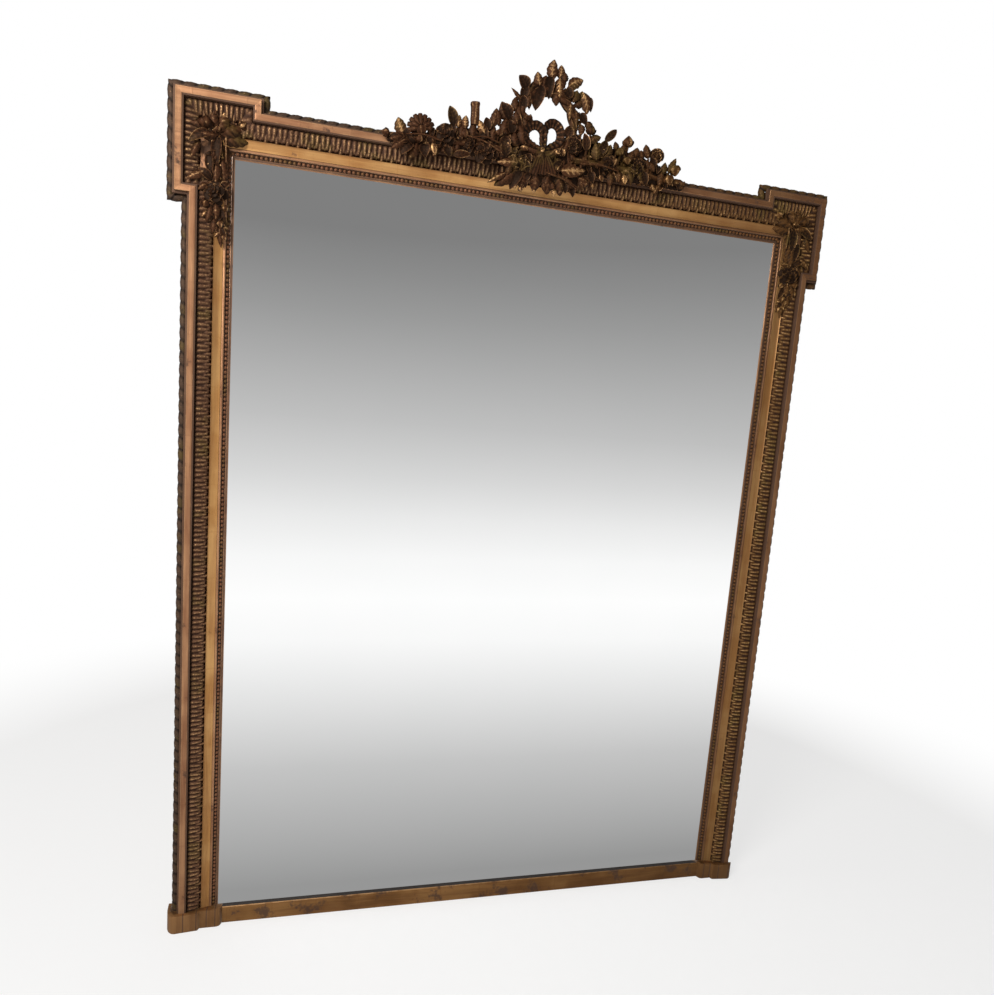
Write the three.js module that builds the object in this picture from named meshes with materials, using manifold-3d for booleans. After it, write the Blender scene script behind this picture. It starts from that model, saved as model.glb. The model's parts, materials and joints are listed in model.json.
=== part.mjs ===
// A trumeau mirror: a gilt and bronzed frame with stepped upper corners, a carved crest, two corner
// garlands and a flat base with moulded feet. Millimetres, X to the right, Y to the wall, Z up.
// The front of the glass is the plane Y = 0 until the last lines centre the whole on its base.
import * as THREE from "three";
import { mergeVertices } from "three/addons/utils/BufferGeometryUtils.js";
import Module from "manifold-3d";

const wasm = await Module();
wasm.setup();

// ---------------------------------------------------------------- driving dimensions

const play = 0.3; // gap between pieces that touch

// The glass, as it shows inside the frame, and what the frame hides of it
const sightWidth = 1080;
const sightHeight = 1406;
const sillHeight = 26;
const glassThickness = 4;
const glassEdgeGap = 2;
const rebateWidth = 10;

// Mouldings, from the glass outwards: widths across the frame and depths forward of the glass
const sightFilletWidth = 5;
const sightFilletDepth = 4;
const beadDiameter = 6.8;
const beadSeatDepth = 3;
const innerFilletWidth = 4.4;
const innerFilletDepth = 9.2;
const bandWidth = 15.6;
const bandOuterDepth = 14.8;
const bandHollow = 1.4;
const leafWidth = 24.9;
const leafInnerDepth = 10;
const leafOuterDepth = 21.3;
const quirkWidth = 1.2;
const edgeWidth = 13.1;
const edgeInnerDepth = 27.8;
const edgeOuterDepth = 28.6;
const sideFilletWidth = 4;
const sideFilletDepth = 23;
const sideFilletThickness = 5;
const ropeDiameter = 16;
const ropeDepth = 9;
const ropeFlat = 1;

// Stepped upper corners, measured on the outer edge of the gilt edge moulding
const earOut = 23.7;
const earRise = 22.8;
const earHeight = 162.8;
const earRun = 136.4;

// Base
const baseHeight = 34;
const baseRailDepth = 24;
const baseRailRound = 2;
const baseRailCrest = 5;
const footHeight = 36;
const footSeat = 28.5;
const footWall = 5;
const footFrontDepth = 44;
const footShoulderDepth = 40;
const footMiddleDepth = 34;
const footOutLeft = 21;
const footOutRight = 5;
const footRound = 15;
const footRoundDepth = 24;
const footShoulderLeft = 36;
const footShoulderRight = 47;
const footStep = 3;
const footInset = 9;
const footCove = 11;

// Carcass, back and fittings
const carcassThickness = 24;
const boardThickness = 9;
const boardOverlap = 14;
const boardCount = 3;
const boardGap = 2;
const boardFoot = 5;
const blockLength = 60;
const blockSide = 12;
const blockSpread = 700;
const strapWidth = 12;
const strapThickness = 3;
const strapRise = 84;
const strapScrewInset = 14.5;
const strapLeft = 45;
const strapRight = 64;
const hangerDrop = 132;
const plateWidth = 18;
const plateLength = 72;
const plateThickness = 2;
const knuckleRadius = 4.2;
const ringWire = 4;
const ringHalfWidth = 12;
const ringDrop = 30;
const ringPlay = 0.5;
const screwLength = 18;
const screwRadius = 1.9;
const screwHeadRadius = 3.8;
const screwHeadHeight = 2.2;
const screwSlot = 0.9;
const screwPitch = 22;

// Ornament: how far forward of the glass the crest and the corner garlands are centred
const crestDepth = 39;
const crestPlaneDepth = 28.6;
const garlandDepth = 21;
const garlandBedThickness = 5;
const crestBedThickness = 9;
const stemRadius = 8;
const wreathHalfWidth = 55;
const wreathHalfHeight = 55;
const wreathCentreX = 5;
const wreathCentreRise = 66;
const wreathRadius = 12;
const wreathFootRise = 42;
const crestCentreLeft = -62;
const crestCentreRight = 78;
const bowLeft = -34;
const bowRight = 40;

// ---------------------------------------------------------------- places worked out from them

const halfSight = sightWidth / 2;
const sightTop = sillHeight + sightHeight;
const hangerHeight = sightTop - hangerDrop;
const beadInner = sightFilletWidth;
const beadOuter = beadInner + beadDiameter;
const bandInner = beadOuter + innerFilletWidth;
const leafInner = bandInner + bandWidth;
const leafOuter = leafInner + leafWidth;
const edgeInner = leafOuter + quirkWidth;
const edgeOuter = edgeInner + edgeWidth;
const halfEdge = halfSight + edgeOuter;
const edgeTop = sightTop + edgeOuter;
const ropeOuter = edgeOuter + play + ropeDiameter - ropeFlat;
const mouldingFoot = footSeat + play;
const rebateLeft = halfSight + rebateWidth;
const rebateTop = sightTop + rebateWidth;
const rebateBottom = sillHeight - rebateWidth;
const lapFront = carcassThickness / 2 - play / 2;
const lapBack = carcassThickness / 2 + play / 2;
const backPlane = carcassThickness + play;
const knuckleY = backPlane + knuckleRadius;
const hangerX = (rebateLeft + halfEdge) / 2;

const point = (x, y) => new THREE.Vector2(x, y);

// The rectangle of the sight edge, from the left foot up, across and down to the right foot
const sightLine = [
  point(-halfSight, mouldingFoot),
  point(-halfSight, sightTop),
  point(halfSight, sightTop),
  point(halfSight, mouldingFoot),
];

// The outer edge of the gilt edge moulding, which steps out round both upper corners
const earLeft = -halfEdge - earOut;
const earTop = edgeTop + earRise;
const earBottom = earTop - earHeight;
const earRight = earLeft + earRun;
const leftEdgeLine = [
  point(-halfEdge, mouldingFoot),
  point(-halfEdge, earBottom),
  point(earLeft, earBottom),
  point(earLeft, earTop),
  point(earRight, earTop),
  point(earRight, edgeTop),
];
const edgeLine = [
  ...leftEdgeLine,
  ...leftEdgeLine.map((p) => point(-p.x, p.y)).reverse(),
];

// ---------------------------------------------------------------- solids

const X = new THREE.Vector3(1, 0, 0);
const Y = new THREE.Vector3(0, 1, 0);
const Z = new THREE.Vector3(0, 0, 1);
const seenFromFront = new THREE.Matrix4().makeBasis(X, Z, Y.clone().negate());
const seenFromAbove = new THREE.Matrix4();
const seenFromLeft = new THREE.Matrix4().makeBasis(Y, Z, X);

// A plate of an outline in one of the three views above, from `start` along that view's third axis.
function plate(view, outline, start, thickness) {
  const geometry = new THREE.ExtrudeGeometry(new THREE.Shape(outline), {
    depth: thickness,
    bevelEnabled: false,
  });
  return geometry.translate(0, 0, start).applyMatrix4(view);
}

const rectangle = (x0, y0, x1, y1) => [point(x0, y0), point(x1, y0), point(x1, y1), point(x0, y1)];

// An upright box between two corners, X, Y and Z.
function box(x0, y0, z0, x1, y1, z1) {
  return plate(seenFromAbove, rectangle(x0, y0, x1, y1), z0, z1 - z0);
}

// Points along a circular or elliptical arc, angles in degrees.
function arc(centreX, centreY, radiusX, radiusY, from, to, steps) {
  const points = [];
  for (let i = 0; i <= steps; i++) {
    const angle = THREE.MathUtils.degToRad(from + ((to - from) * i) / steps);
    points.push(point(centreX + radiusX * Math.cos(angle), centreY + radiusY * Math.sin(angle)));
  }
  return points;
}

const asPairs = (points) => points.map((p) => [p.x, p.y]);

// Closes rings of points into a skin, with a cap on both ends unless the rings run round.
function skin(rings, contour, closed) {
  const count = contour.length;
  const index = [];
  const spans = closed ? rings.length : rings.length - 1;
  for (let i = 0; i < spans; i++) {
    const near = i * count;
    const far = ((i + 1) % rings.length) * count;
    for (let j = 0; j < count; j++) {
      const k = (j + 1) % count;
      index.push(near + j, near + k, far + k, near + j, far + k, far + j);
    }
  }
  if (!closed) {
    const end = (rings.length - 1) * count;
    for (const [a, b, c] of THREE.ShapeUtils.triangulateShape(contour, [])) {
      index.push(c, b, a, end + a, end + b, end + c);
    }
  }
  return new THREE.BufferGeometry().setFromPoints(rings.flat()).setIndex(index);
}

// Sweeps a section along a line in the upright plane, mitred at each corner. A section point is
// [outward, forward], outward being left of the way the line runs. An end that stands inside the
// line is cut at its mitre, with half the play taken off it.
function sweep(line, section, { datum = 0, run = [0, line.length - 1], closed = false } = {}) {
  const contour = section.map(([outward, forward]) => point(outward, forward));
  if (THREE.ShapeUtils.isClockWise(contour)) contour.reverse();
  const at = (i) => line[(i + line.length) % line.length];
  const normal = (i) => point(at(i).y - at(i + 1).y, at(i + 1).x - at(i).x).normalize();
  const mitre = (i) => {
    const before = closed || i > 0 ? normal(i - 1) : normal(i);
    const after = closed || i < line.length - 1 ? normal(i) : before;
    return before.clone().add(after).divideScalar(1 + before.dot(after));
  };
  const rings = [];
  const stop = closed ? line.length - 1 : run[1];
  for (let i = run[0]; i <= stop; i++) {
    const place = at(i).clone();
    if (!closed && i === run[0] && i > 0) {
      place.add(at(i + 1).clone().sub(at(i)).setLength(play / Math.SQRT2));
    }
    if (!closed && i === run[1] && i < line.length - 1) {
      place.add(at(i - 1).clone().sub(at(i)).setLength(play / Math.SQRT2));
    }
    const side = mitre(i);
    rings.push(
      contour.map((c) => {
        const outward = c.x - datum;
        return new THREE.Vector3(place.x + side.x * outward, -c.y, place.y + side.y * outward);
      }),
    );
  }
  return skin(rings, contour, closed);
}

// A round section of the given radius, centred at a depth forward of the glass.
function roundSection(radius, depth, sides = 8) {
  return asPairs(arc(0, depth, radius, radius, 0, 360 - 360 / sides, sides - 1));
}

// A geometry as a solid that can be joined and cut.
function solid(geometry) {
  const bare = new THREE.BufferGeometry().setAttribute("position", geometry.getAttribute("position"));
  bare.setIndex(geometry.index);
  const merged = mergeVertices(bare, 1e-4);
  const corners = merged.index.array;
  const kept = [];
  for (let i = 0; i < corners.length; i += 3) {
    const [a, b, c] = [corners[i], corners[i + 1], corners[i + 2]];
    if (a !== b && b !== c && c !== a) kept.push(a, b, c);
  }
  return new wasm.Manifold(
    new wasm.Mesh({
      numProp: 3,
      vertProperties: merged.getAttribute("position").array,
      triVerts: Uint32Array.from(kept),
    }),
  );
}

const join = (geometries) => geometries.map(solid).reduce((whole, piece) => whole.add(piece));

// A solid as a geometry again: its largest body, without crumbs that a cut left.
function shape(whole) {
  const bodies = whole.decompose().sort((a, b) => b.volume() - a.volume());
  const { vertProperties, triVerts } = bodies[0].getMesh();
  return new THREE.BufferGeometry()
    .setAttribute("position", new THREE.BufferAttribute(vertProperties, 3))
    .setIndex(new THREE.BufferAttribute(triVerts, 1));
}

// ---------------------------------------------------------------- the assembly

const finish = (color, roughness, metalness) => ({ color, roughness, metalness, flatShading: true });
const finishes = {
  gilt: finish(0xb08550, 0.4, 0.7),
  copperGilt: finish(0x9a6f4c, 0.4, 0.7),
  bronze: finish(0x4a3428, 0.5, 0.6),
  baseGilt: finish(0x7d5226, 0.5, 0.5),
  pine: finish(0x9c7a50, 0.8, 0),
  mirror: finish(0xe6e8ea, 0.03, 1),
  iron: finish(0x3a3634, 0.5, 0.8),
  brass: finish(0xa8843f, 0.35, 0.9),
};

const mirror = new THREE.Group();

function add(name, geometry, finishName) {
  const mesh = new THREE.Mesh(geometry, new THREE.MeshStandardMaterial(finishes[finishName]));
  mesh.name = name;
  mirror.add(mesh);
  return mesh;
}

// A piece of the left side and its mirror image on the right.
function addPair(name, geometry, finishName) {
  add(`${name}_left`, geometry, finishName);
  add(`${name}_right`, geometry, finishName).scale.x = -1;
}

// ---------------------------------------------------------------- carcass

const screwHoleRadius = screwRadius + play;
const screwHeights = [hangerHeight - 2 * screwPitch, hangerHeight - 3 * screwPitch + play];

// A round bar along Y from one depth to another.
function barAlongY(radius, x, z, y0, y1) {
  const bar = new THREE.CylinderGeometry(radius, radius, y1 - y0, 12);
  return bar.translate(x, (y0 + y1) / 2, z);
}

function stile() {
  const profile = [
    point(0, rebateBottom + play),
    point(0, rebateTop - play),
    point(lapBack, rebateTop - play),
    point(lapBack, edgeTop),
    point(carcassThickness, edgeTop),
    point(carcassThickness, 0),
    point(lapBack, 0),
    point(lapBack, rebateBottom + play),
  ];
  const board = solid(plate(seenFromLeft, profile, -halfEdge, edgeOuter - rebateWidth));
  const pilots = screwHeights.map((z) =>
    barAlongY(screwHoleRadius, -hangerX, z, backPlane - screwLength, backPlane + play),
  );
  return shape(board.subtract(join(pilots)));
}

// A rail with its ends halved onto the stiles.
function rail(bottom, top) {
  const inner = rebateLeft - play;
  const outline = [
    point(-halfEdge, 0),
    point(halfEdge, 0),
    point(halfEdge, lapFront),
    point(inner, lapFront),
    point(inner, carcassThickness),
    point(-inner, carcassThickness),
    point(-inner, lapFront),
    point(-halfEdge, lapFront),
  ];
  return plate(seenFromAbove, outline, bottom, top - bottom);
}

const strapScrewRise = rebateTop + boardOverlap + strapScrewInset;

function topRail() {
  const pilots = [-strapLeft, strapRight].map((x) =>
    barAlongY(screwHoleRadius, x, strapScrewRise, backPlane - screwLength, backPlane + play),
  );
  return shape(solid(rail(rebateTop, edgeTop)).subtract(join(pilots)));
}

function earBlock() {
  const outline = [
    point(-halfEdge - play, earBottom),
    point(-halfEdge - play, edgeTop + play),
    point(earRight, edgeTop + play),
    point(earRight, earTop),
    point(earLeft, earTop),
    point(earLeft, earBottom),
  ];
  return plate(seenFromFront, outline, -carcassThickness, carcassThickness);
}

addPair("stile", stile(), "pine");
add("top_rail", topRail(), "pine");
add("bottom_rail", rail(0, rebateBottom), "pine");
addPair("ear_block", earBlock(), "pine");

// ---------------------------------------------------------------- mouldings

const beadCentre = beadInner + beadDiameter / 2;
const beadSection = [
  [0, play],
  [bandInner - play, play],
  [bandInner - play, innerFilletDepth],
  [beadOuter, innerFilletDepth],
  ...asPairs(arc(beadCentre, beadSeatDepth, beadDiameter / 2, beadDiameter / 2, 0, 180, 6)),
  [beadInner, sightFilletDepth],
  [0, sightFilletDepth],
];

const bandSection = [
  [bandInner, play],
  [leafInner - play, play],
  [leafInner - play, bandOuterDepth],
  [bandInner + bandWidth / 2, (innerFilletDepth + bandOuterDepth) / 2 - bandHollow],
  [bandInner, innerFilletDepth],
];

// The ovolo under the carved leaves: a quarter of an ellipse rising outwards.
const leafSection = [
  [leafInner, play],
  [leafOuter, play],
  ...asPairs(arc(leafOuter, leafInnerDepth, leafWidth, leafOuterDepth - leafInnerDepth, 90, 180, 4)),
];

const edgeSection = [
  [edgeInner, play],
  [edgeOuter, play],
  [edgeOuter, sideFilletDepth - sideFilletThickness],
  [edgeOuter + sideFilletWidth, sideFilletDepth - sideFilletThickness],
  [edgeOuter + sideFilletWidth, sideFilletDepth],
  [edgeOuter, sideFilletDepth],
  [edgeOuter, edgeOuterDepth],
  [edgeInner, edgeInnerDepth],
];

// The rope is round but for a narrow flat, where it lies along the side of the edge moulding.
const ropeRadius = ropeDiameter / 2;
const ropeFlatAngle = THREE.MathUtils.radToDeg(Math.acos((ropeFlat - ropeRadius) / ropeRadius));
const ropeCentre = ropeOuter - ropeRadius;
const ropeSection = asPairs(
  arc(ropeCentre, ropeDepth, ropeRadius, ropeRadius, -ropeFlatAngle, ropeFlatAngle, 9),
);

for (const [name, section, finishName] of [
  ["bead_moulding", beadSection, "copperGilt"],
  ["plain_band", bandSection, "gilt"],
]) {
  addPair(name, sweep(sightLine, section, { run: [0, 1] }), finishName);
  add(`${name}_top`, sweep(sightLine, section, { run: [1, 2] }), finishName);
}

for (const [name, section, finishName] of [
  ["leaf_moulding", leafSection, "bronze"],
  ["edge_moulding", edgeSection, "copperGilt"],
  ["rope_moulding", ropeSection, "bronze"],
]) {
  const along = (run) => sweep(edgeLine, section, { datum: edgeOuter, run });
  addPair(name, along([0, 1]), finishName);
  addPair(`${name}_ear`, along([1, 5]), finishName);
  add(`${name}_top`, along([5, 6]), finishName);
}

// The flat between the plain band and the leaf moulding where the corner steps out.
const leafInset = edgeOuter - leafInner;
const earPanelOutline = [
  point(earLeft + leafInset + play, earBottom + leafInset + play),
  point(-halfSight - leafInner, earBottom + leafInset + play),
  point(-halfSight - leafInner, sightTop + leafInner),
  point(earRight - leafInset - play, sightTop + leafInner),
  point(earRight - leafInset - play, earTop - leafInset - play),
  point(earLeft + leafInset + play, earTop - leafInset - play),
];
addPair("ear_panel", plate(seenFromFront, earPanelOutline, play, bandOuterDepth - play), "gilt");

// ---------------------------------------------------------------- base

const footInner = -halfSight + footInset;
const railCrestY = baseRailCrest - baseRailDepth;

// A foot is a collar: the side mouldings stand on its seat, behind its front wall. `out` is how far
// it reaches past the frame's edge and `shoulder` how far in from that edge it steps back.
function footBlock(out, shoulder) {
  const side = -halfEdge - out;
  const step = -halfEdge + shoulder;
  const outline = [
    point(footInner, -play),
    point(footInner, -baseRailDepth),
    ...arc(footInner - footCove, -baseRailDepth, footCove, footMiddleDepth - baseRailDepth, -45, -90, 3),
    point(step + footStep, -footMiddleDepth),
    point(step, -footShoulderDepth),
    ...arc(side + footRound, footRoundDepth - footFrontDepth, footRound, footRoundDepth, 270, 180, 5),
    point(side, -play),
  ];
  const seat = [
    point(-halfSight + play, 0),
    point(-halfSight + play, footWall - footMiddleDepth),
    point(step + footStep - footWall, footWall - footMiddleDepth),
    point(step - footWall, footWall - footShoulderDepth),
    point(-halfSight - ropeOuter + footRound / 2, footWall - footShoulderDepth),
    point(-halfSight - ropeOuter - play, footWall - footFrontDepth + footRound),
    point(-halfSight - ropeOuter - play, 0),
  ];
  const slope = [
    point(0, sillHeight),
    point(-play, sillHeight),
    point(railCrestY, baseHeight),
    point(railCrestY, footHeight + play),
    point(0, footHeight + play),
  ];
  const sloped = plate(seenFromLeft, slope, -halfSight, footInset + play);
  return shape(
    solid(plate(seenFromAbove, outline, 0, footHeight))
      .subtract(solid(plate(seenFromAbove, seat, footSeat, footHeight)))
      .subtract(solid(sloped)),
  );
}
add("foot_block_left", footBlock(footOutLeft, footShoulderLeft), "baseGilt");
add("foot_block_right", footBlock(footOutRight, footShoulderRight), "baseGilt").scale.x = -1;

const baseRailProfile = [
  point(-play, 0),
  point(-play, sillHeight),
  point(railCrestY, baseHeight),
  point(baseRailRound - baseRailDepth, baseHeight),
  point(-baseRailDepth, baseHeight - baseRailRound),
  point(-baseRailDepth, 0),
];
const baseRailStart = footInner + play;
add("base_rail", plate(seenFromLeft, baseRailProfile, baseRailStart, -2 * baseRailStart), "baseGilt");

// ---------------------------------------------------------------- ornament

const ornamentSides = 6;

// A pointed form from its stalk to its tip, such as a leaf or a bud, lying in the upright plane.
function leaf(from, to, width, depth, thickness = width / 3) {
  const along = new THREE.Vector3(to[0] - from[0], 0, to[1] - from[1]);
  const length = along.length();
  along.normalize();
  const outline = [
    point(0, 0),
    point(width * 0.36, length * 0.2),
    point(width * 0.5, length * 0.45),
    point(width * 0.36, length * 0.75),
    point(0, length),
  ];
  const across = new THREE.Vector3(along.z, 0, -along.x);
  const turn = new THREE.Matrix4().makeBasis(across, along, Y.clone().negate());
  turn.setPosition(from[0], -depth, from[1]);
  return new THREE.LatheGeometry(outline, ornamentSides)
    .scale(1, 1, thickness / width)
    .applyMatrix4(turn);
}

// A full flower head or berry facing forwards.
function bloom(centre, radius, depth, flatness = 0.6) {
  return new THREE.SphereGeometry(radius, ornamentSides + 2, ornamentSides - 1)
    .scale(1, flatness, 1)
    .translate(centre[0], -depth, centre[1]);
}

// A stem of round section through the given points.
function stem(points, radius, depth) {
  return sweep(points.map(([x, z]) => point(x, z)), roundSection(radius, depth));
}

// ---- crest, in [across from the middle, up from the top edge of the frame]

const crestLeaf = (from, to, width, thickness) => leaf(from, to, width, crestDepth, thickness);
const crestBud = (from, to, width) => leaf(from, to, width, crestDepth, width * 0.8);
const crestBloom = (centre, radius) => bloom(centre, radius, crestDepth);
const crestStem = (points, radius) => stem(points, radius, crestPlaneDepth + radius * 0.9);

function wreath() {
  const arch = asPairs(
    arc(wreathCentreX, wreathCentreRise, wreathHalfWidth, wreathHalfHeight, 215, -35, 14),
  );
  return [
    crestStem(arch, wreathRadius),
    crestLeaf([-37, 97], [-58, 134], 20),
    crestLeaf([-50, 88], [-67, 111], 7),
    crestLeaf([-14, 114], [-20, 146], 16),
    crestBud([-12, 124], [-22, 81], 28),
    crestLeaf([8, 120], [10, 174], 20),
    crestLeaf([18, 124], [25, 166], 13),
    crestBloom([21, 128], 11),
    crestBud([11, 130], [20, 92], 20),
    crestLeaf([34, 126], [71, 151], 23),
    crestBloom([49, 117], 15),
    crestBud([58, 118], [88, 102], 25),
    crestBud([52, 114], [46, 73], 15),
    crestBud([-50, 44], [-50, 90], 26),
    crestLeaf([-52, 70], [-66, 96], 13),
    crestBud([62, 42], [62, 98], 22),
  ];
}

// One loop of the ribbon bow, which stands open.
function bowLoop(x, rise, halfWidth, halfHeight) {
  const ribbon = [
    [-3.5, crestPlaneDepth],
    [3.5, crestPlaneDepth],
    [3.5, crestDepth + 6],
    [-3.5, crestDepth + 6],
  ];
  return sweep(arc(x, rise, halfWidth, halfHeight, 0, 330, 11), ribbon, { closed: true });
}

function bow() {
  const bed = [
    point(crestCentreLeft, 52), point(-38, 50), point(-28, 18), point(34, 18), point(46, 44),
    point(crestCentreRight, 50), point(crestCentreRight, -26), point(40, -38), point(-36, -38),
    point(crestCentreLeft, -28),
  ].reverse();
  const tails = [point(-14, 8), point(16, 8), point(28, -24), point(-24, -24)].reverse();
  const tailThickness = 15;
  return [
    plate(seenFromFront, bed, crestPlaneDepth, crestBedThickness),
    plate(seenFromFront, tails, crestPlaneDepth, tailThickness),
    bowLoop(-17, 41, 14, 23),
    bowLoop(18, 43, 13, 25),
    crestBloom([0, 12], 13),
    crestBud([-50, 8], [-50, 50], 25),
    crestBloom([61, 24], 19),
    crestLeaf([-28, -18], [-104, -54], 28),
    crestLeaf([-36, -28], [-74, -62], 26),
    crestLeaf([-14, -16], [-28, -58], 26),
    crestLeaf([4, -16], [10, -62], 28),
    crestLeaf([26, -18], [42, -58], 26),
    crestLeaf([34, -18], [68, -56], 26),
    crestLeaf([36, -14], [90, -8], 20),
    crestStem([[10, -20], [76, -40]], 5),
  ];
}

function leftSpray() {
  const bed = [
    point(-290, -4), point(-262, -12), point(-236, -26), point(-200, -24), point(-150, -22),
    point(-128, -36), point(-98, -36), point(crestCentreLeft, -26), point(crestCentreLeft, 56),
    point(-80, 52), point(-94, 38), point(-106, 34), point(-128, 40), point(-150, 28),
    point(-172, 36), point(-205, 30), point(-236, 22), point(-262, 14), point(-288, 6),
  ];
  return [
    plate(seenFromFront, bed, crestPlaneDepth, crestBedThickness),
    crestStem([[-60, 4], [-150, 2], [-284, 2]], stemRadius),
    crestLeaf([-229, 2], [-254, 24], 17),
    crestLeaf([-229, 2], [-243, 38], 17),
    crestLeaf([-229, 2], [-229, 43], 17),
    crestLeaf([-229, 2], [-215, 39], 17),
    crestLeaf([-229, 2], [-205, 25], 17),
    crestBloom([-186, 14], 25),
    crestLeaf([-172, 20], [-181, 62], 17),
    crestBud([-150, 10], [-158, 49], 19),
    crestStem([[-128, 4], [-134, 74]], 8.5),
    crestBud([-106, 10], [-112, 54], 20),
    crestLeaf([-97, 16], [-94, 72], 15),
    crestLeaf([-69, 48], [-87, 84], 20),
    crestBloom([-84, 14], 17),
    crestBloom([-114, -13], 26),
    crestBloom([-286, 1], 9),
    crestBud([-261, 0], [-270, 28], 15),
    crestLeaf([-212, -4], [-258, -38], 28),
    crestLeaf([-230, -2], [-272, -20], 18),
    crestBud([-206, -4], [-195, -29], 15),
    crestLeaf([-150, -2], [-175, -24], 20),
  ];
}

function rightSpray() {
  const bed = [
    point(crestCentreRight, -36), point(118, -38), point(150, -28), point(196, -22),
    point(232, -18), point(268, -8), point(282, 0), point(276, 16), point(246, 32),
    point(228, 38), point(196, 42), point(170, 46), point(146, 46), point(112, 44),
    point(94, 56), point(crestCentreRight, 62),
  ];
  return [
    plate(seenFromFront, bed, crestPlaneDepth, crestBedThickness),
    crestStem([[76, 2], [153, 4], [270, 2]], stemRadius),
    crestBud([86, 42], [96, 82], 20),
    crestLeaf([106, 36], [140, 78], 19),
    crestBloom([112, 26], 23),
    crestBloom([151, 36], 17),
    crestLeaf([167, 34], [169, 70], 19),
    crestBloom([182, 38], 15),
    crestLeaf([214, 26], [207, 59], 15),
    crestBud([224, 26], [241, 59], 23),
    crestBloom([232, 22], 18),
    crestLeaf([238, 20], [279, 46], 14),
    crestBloom([270, 18], 12),
    crestBloom([261, -1], 12),
    crestBloom([188, 16], 25),
    crestBud([166, -2], [172, -28], 14),
    crestBloom([216, -8], 16),
    crestLeaf([130, -10], [146, -36], 20),
    crestBloom([108, -24], 17),
    crestLeaf([190, -6], [206, -30], 18),
    crestBud([276, 4], [287, -8], 12),
  ];
}

// What the back of the crest is fitted over: the top mouldings, stepped by their depths.
const crestSeat = [
  point(0, -edgeOuter),
  point(-bandOuterDepth - play, -edgeOuter),
  point(-bandOuterDepth - play, leafInner - edgeOuter - play),
  point(-leafOuterDepth - play, leafInner - edgeOuter - play),
  point(-leafOuterDepth - play, edgeInner - edgeOuter - play),
  point(-crestPlaneDepth - play, edgeInner - edgeOuter - play),
  point(-crestPlaneDepth - play, 2 * edgeOuter + 2 * wreathHalfHeight),
  point(0, 2 * edgeOuter + 2 * wreathHalfHeight),
];

// The crest is four carvings, butted along straight joints with half the play off each side.
const crestHalfSpan = 320;
const crestFloor = -90;
const crestCeiling = 220;
const wreathShoulderRise = 87;
const bowCeiling = 70;

function crestZone(left, bottom, right, top) {
  const half = play / 2;
  return solid(box(left + half, -footFrontDepth * 2, bottom + half, right - half, 0, top - half));
}

const seatBlock = solid(plate(seenFromLeft, crestSeat, -crestHalfSpan, 2 * crestHalfSpan));
const leftZone = crestZone(-crestHalfSpan, crestFloor, crestCentreLeft, wreathShoulderRise);
const rightZone = crestZone(crestCentreRight, crestFloor, crestHalfSpan, wreathShoulderRise);
const loopZone = crestZone(bowLeft, crestFloor, bowRight, bowCeiling);
const bowZone = crestZone(crestCentreLeft, crestFloor, crestCentreRight, wreathFootRise).add(loopZone);
const loopRoom = crestZone(bowLeft - play, crestFloor, bowRight + play, bowCeiling + play);
const wreathZone = crestZone(-crestHalfSpan, wreathShoulderRise, crestHalfSpan, crestCeiling)
  .add(crestZone(crestCentreLeft, wreathFootRise, crestCentreRight, wreathShoulderRise + play))
  .subtract(loopRoom);

for (const [name, forms, zone] of [
  ["crest_wreath", wreath(), wreathZone],
  ["crest_bow", bow(), bowZone],
  ["crest_spray_left", leftSpray(), leftZone],
  ["crest_spray_right", rightSpray(), rightZone],
]) {
  const carving = join(forms).intersect(zone).subtract(seatBlock);
  add(name, shape(carving).translate(0, 0, edgeTop), "bronze");
}

// Two iron straps, screwed behind the top rail, rise over the rope and carry the crest's back.
const strapShelf = sightTop + ropeOuter + play;
const strapFront = -crestPlaneDepth;
const strapProfile = [
  point(backPlane, rebateTop + boardOverlap + play),
  point(backPlane + strapThickness, rebateTop + boardOverlap + play),
  point(backPlane + strapThickness, strapShelf + strapThickness),
  point(strapFront + strapThickness, strapShelf + strapThickness),
  point(strapFront + strapThickness, edgeTop + strapRise),
  point(strapFront, edgeTop + strapRise),
  point(strapFront, strapShelf),
  point(backPlane, strapShelf),
];

function strap(x) {
  const bar = solid(plate(seenFromLeft, strapProfile, x - strapWidth / 2, strapWidth));
  const back = backPlane + strapThickness;
  return shape(bar.subtract(solid(barAlongY(screwHoleRadius, x, strapScrewRise, 0, back + play))));
}
add("crest_strap_left", strap(-strapLeft), "iron");
add("crest_strap_right", strap(strapRight), "iron");

// ---- corner garlands, in [outward, up] from the upper corner of the glass

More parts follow.
